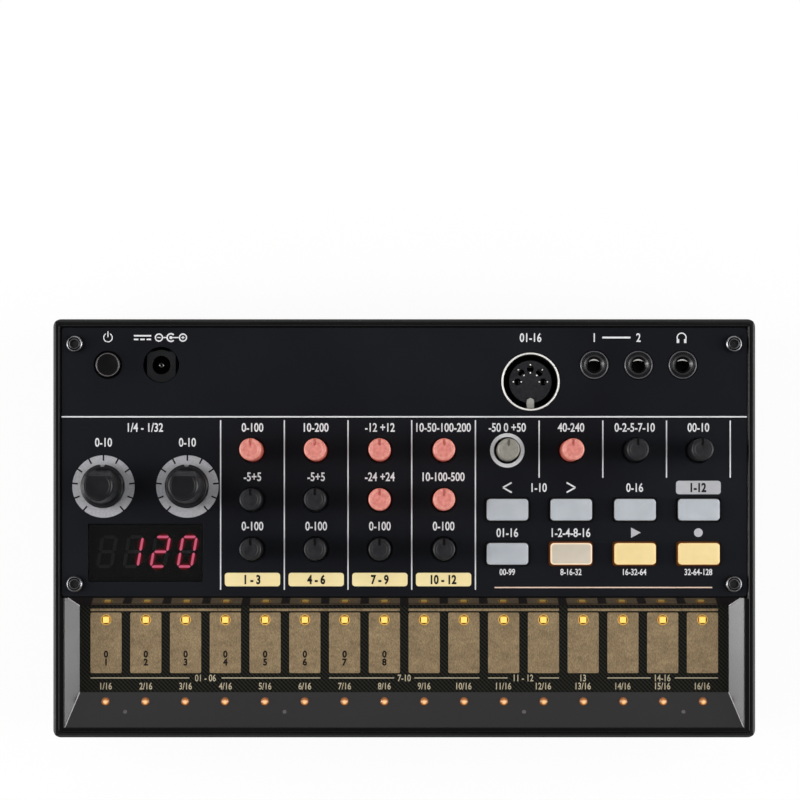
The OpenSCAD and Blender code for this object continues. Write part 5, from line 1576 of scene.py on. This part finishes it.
def barOutline(reach, half, way):
    # a bar with pointed ends
    shape = [(-reach, 0), (half - reach, half), (reach - half, half), (reach, 0),
             (reach - half, -half), (half - reach, -half)]
    return shape if way == "across" else [(-y, x) for x, y in shape]


def makeFigures(settings, lit):
    middle = middleOf("display_window")
    lean = math.tan(math.radians(settings["slant"]))
    reaches = {"across": settings["half"][0], "up": settings["half"][1] / 2}
    bm = bmesh.new()
    for spot, shown in zip(settings["digitX"], settings["shown"]):
        for name, ((cx, cy), way) in segmentBars(settings).items():
            if (name in shown) != lit:
                continue
            outlines = []
            for half, short, height, light in settings["rings"][lit]:
                shape = barOutline(reaches[way] - settings["gap"] - short * mm, half * mm, way)
                points = [(middle.x + spot + cx + px + lean * (cy + py),
                           middle.y + settings["digitY"] + cy + py) for px, py in shape]
                outlines.append((points, panelLow.z + height * mm, light))
            stacked(bm, outlines)
    return meshOf(bm)


addPiece("display_glass", makeGlass(displaySettings), finish("glassSmoke", displaySettings["glass"]),
         ["display_window"])
addPiece("lit_bars", makeFigures(displaySettings, True), finish("barLit", displaySettings["lit"]))
addPiece("dark_bars", makeFigures(displaySettings, False), finish("barDark", displaySettings["unlit"]))
print("display is made")


# Finishes of the frame solids that stay

boardLook = grainLook("#12402a", "#185236", (0.3, 0.45), 900, 160, (0.2, 0.03))
shaftLook = brushLook("#a8a8aa", "#c4c4c6", (0.25, 0.4), (900, 900, 60), (0.08, 0.01), Metallic=1)
innerLooks = {
    "touch_plate": stripSettings["plate"],
    "display_module": displaySettings["block"],
    "main_board": boardLook,
    "jack_board": boardLook,
    "board_links": brushLook("#b4b2a8", "#c9c7bd", (0.45, 0.6), (40, 1800, 1800), (0.2, 0.03)),
    "pot_bodies": grainLook("#131a22", "#1a2430", (0.4, 0.55), 1500, 150, (0.2, 0.03)),
    "knob_leds": grainLook("#ff7a68", "#ff8c7c", (0.3, 0.4), 2000, 300, (0.05, 0.01)),
    "button_switches": grainLook("#4a4a4a", "#5a5a5a", (0.45, 0.6), 1500, 150, (0.2, 0.03)),
    "case_screws": brushLook("#8c8c8c", "#b0b0b0", (0.25, 0.4), (600, 600, 200), (0.1, 0.01), Metallic=1),
    "board_screws": brushLook("#a0a0a0", "#c4c4c4", (0.25, 0.4), (600, 600, 200), (0.1, 0.01), Metallic=1),
    "speaker_basket": grainLook("#2c2c2e", "#38383b", (0.4, 0.55), 1200, 120, (0.2, 0.03)),
    "speaker_cone": grainLook("#25221f", "#332f2b", (0.75, 0.9), 700, 200, (0.6, 0.08)),
    "speaker_magnet": grainLook("#3c3c3f", "#4a4a4e", (0.35, 0.5), 1200, 120, (0.2, 0.03)),
    "battery_cells": brushLook("#3a5a8c", "#466aa0", (0.25, 0.4), (900, 40, 40), (0.08, 0.01), Metallic=0.6),
    "battery_contacts": brushLook("#b0b0ae", "#d0d0cd", (0.2, 0.35), (200, 900, 200), (0.08, 0.01),
                                  Metallic=1),
    "stutter_time_shaft": shaftLook,
    "stutter_depth_shaft": shaftLook,
}
for node, look in innerLooks.items():
    material = finish(node + "_finish", look)
    if not nodes[node].material_slots:
        nodes[node].data.materials.append(material)
    for place in nodes[node].material_slots:
        place.material = material
print("inner pieces have their finishes")


# Floor, light and camera

studioSettings = {
    "floorSize": 30.0,  # the sizes and places of the studio are in metres
    "floorDrop": 0.05 * mm,
    "floorWhite": "#f4f4f4",
    "floorRough": 0.9,
    "floorGlow": 0.92,
    "world": 0.12,
    "boxes": {
        "left": {"place": (-0.95, 0, 0.5), "size": (1.2, 0.9), "radiance": 3.6},
        "right": {"place": (0.95, 0, 0.5), "size": (1.2, 0.9), "radiance": 3.6},
        "leftLow": {"place": (-0.8, -0.03, 0.09), "size": (0.7, 0.14), "radiance": 12},
        "rightLow": {"place": (0.8, -0.03, 0.09), "size": (0.7, 0.14), "radiance": 7},
        "rear": {"place": (0, 0.8, 0.8), "size": (1.2, 0.5), "radiance": 1.1},
        "front": {"place": (0, -0.9, 0.75), "size": (1.2, 0.5), "radiance": 0.8},
    },
    "eyeHigh": 650 * mm,
    "sensor": 36,
    "clip": (0.01, 20),
    "frameWide": 800,  # pixels
    "pixelsPerMm": 3.64,
    "middlePixel": (404.25, 528.3),
}


def makeFloor(settings):
    bm = bmesh.new()
    bmesh.ops.create_grid(bm, x_segments=8, y_segments=8, size=settings["floorSize"] / 2)
    mesh = plainMesh(bm, "floor")
    mesh.transform(Matrix.Translation((0, 0, cadLow.z - settings["floorDrop"])))
    floor = linked("floor", mesh)
    material = bpy.data.materials.new("floorPaper")
    material.use_nodes = True
    tree = material.node_tree
    shader = tree.nodes["Principled BSDF"]
    fill(tree, shader, {"Base Color": linear(settings["floorWhite"]), "Roughness": settings["floorRough"]})
    white = tree.nodes.new("ShaderNodeEmission")
    path = tree.nodes.new("ShaderNodeLightPath").outputs
    seen = path["Is Camera Ray"]
    for name in ("Is Glossy Ray", "Is Transmission Ray"):
        seen = addNode(tree, "ShaderNodeMath", {0: seen, 1: path[name]}, operation="MAXIMUM").outputs["Value"]
    share = addNode(tree, "ShaderNodeMath", {0: seen, 1: settings["floorGlow"]}, operation="MULTIPLY")
    mix = addNode(tree, "ShaderNodeMixShader", {
        0: share.outputs["Value"], 1: shader.outputs["BSDF"], 2: white.outputs["Emission"]})
    fill(tree, tree.nodes["Material Output"], {"Surface": mix.outputs["Shader"]})
    mesh.materials.append(material)


def softBox(name, place, size, radiance):
    # a lamp by the brightness of its face, turned to the middle of the object
    lamp = bpy.data.lights.new(name, "AREA")
    lamp.shape = "RECTANGLE"
    lamp.size, lamp.size_y = size
    lamp.energy = radiance * math.pi * size[0] * size[1]
    obj = linked(name, lamp)
    obj.location = place
    obj.rotation_euler = (Vector((0, 0, panelTop)) - Vector(place)).to_track_quat("-Z", "Z").to_euler()


def makeStudio(settings):
    world = bpy.data.worlds.new("studio")
    world.use_nodes = True
    fill(world.node_tree, world.node_tree.nodes["Background"], {
        "Color": (1, 1, 1, 1), "Strength": settings["world"]})
    bpy.context.scene.world = world
    for name, box in settings["boxes"].items():
        softBox(name + "Box", **box)


def makeCamera(settings):
    view = bpy.data.cameras.new("eye")
    frameWide, (middleX, middleY) = settings["frameWide"], settings["middlePixel"]
    view.sensor_width = settings["sensor"]
    focal = settings["pixelsPerMm"] * settings["eyeHigh"] / mm
    view.lens = focal / frameWide * view.sensor_width
    view.shift_x = (frameWide / 2 - middleX) / frameWide
    view.shift_y = (middleY - frameWide / 2) / frameWide
    view.clip_start, view.clip_end = settings["clip"]
    eye = linked("eye", view)
    eye.location = (0, 0, panelTop + settings["eyeHigh"])
    bpy.context.scene.camera = eye


makeFloor(studioSettings)
makeStudio(studioSettings)
makeCamera(studioSettings)
bpy.context.scene.view_settings.view_transform = "Standard"
print("floor, light and camera are set")
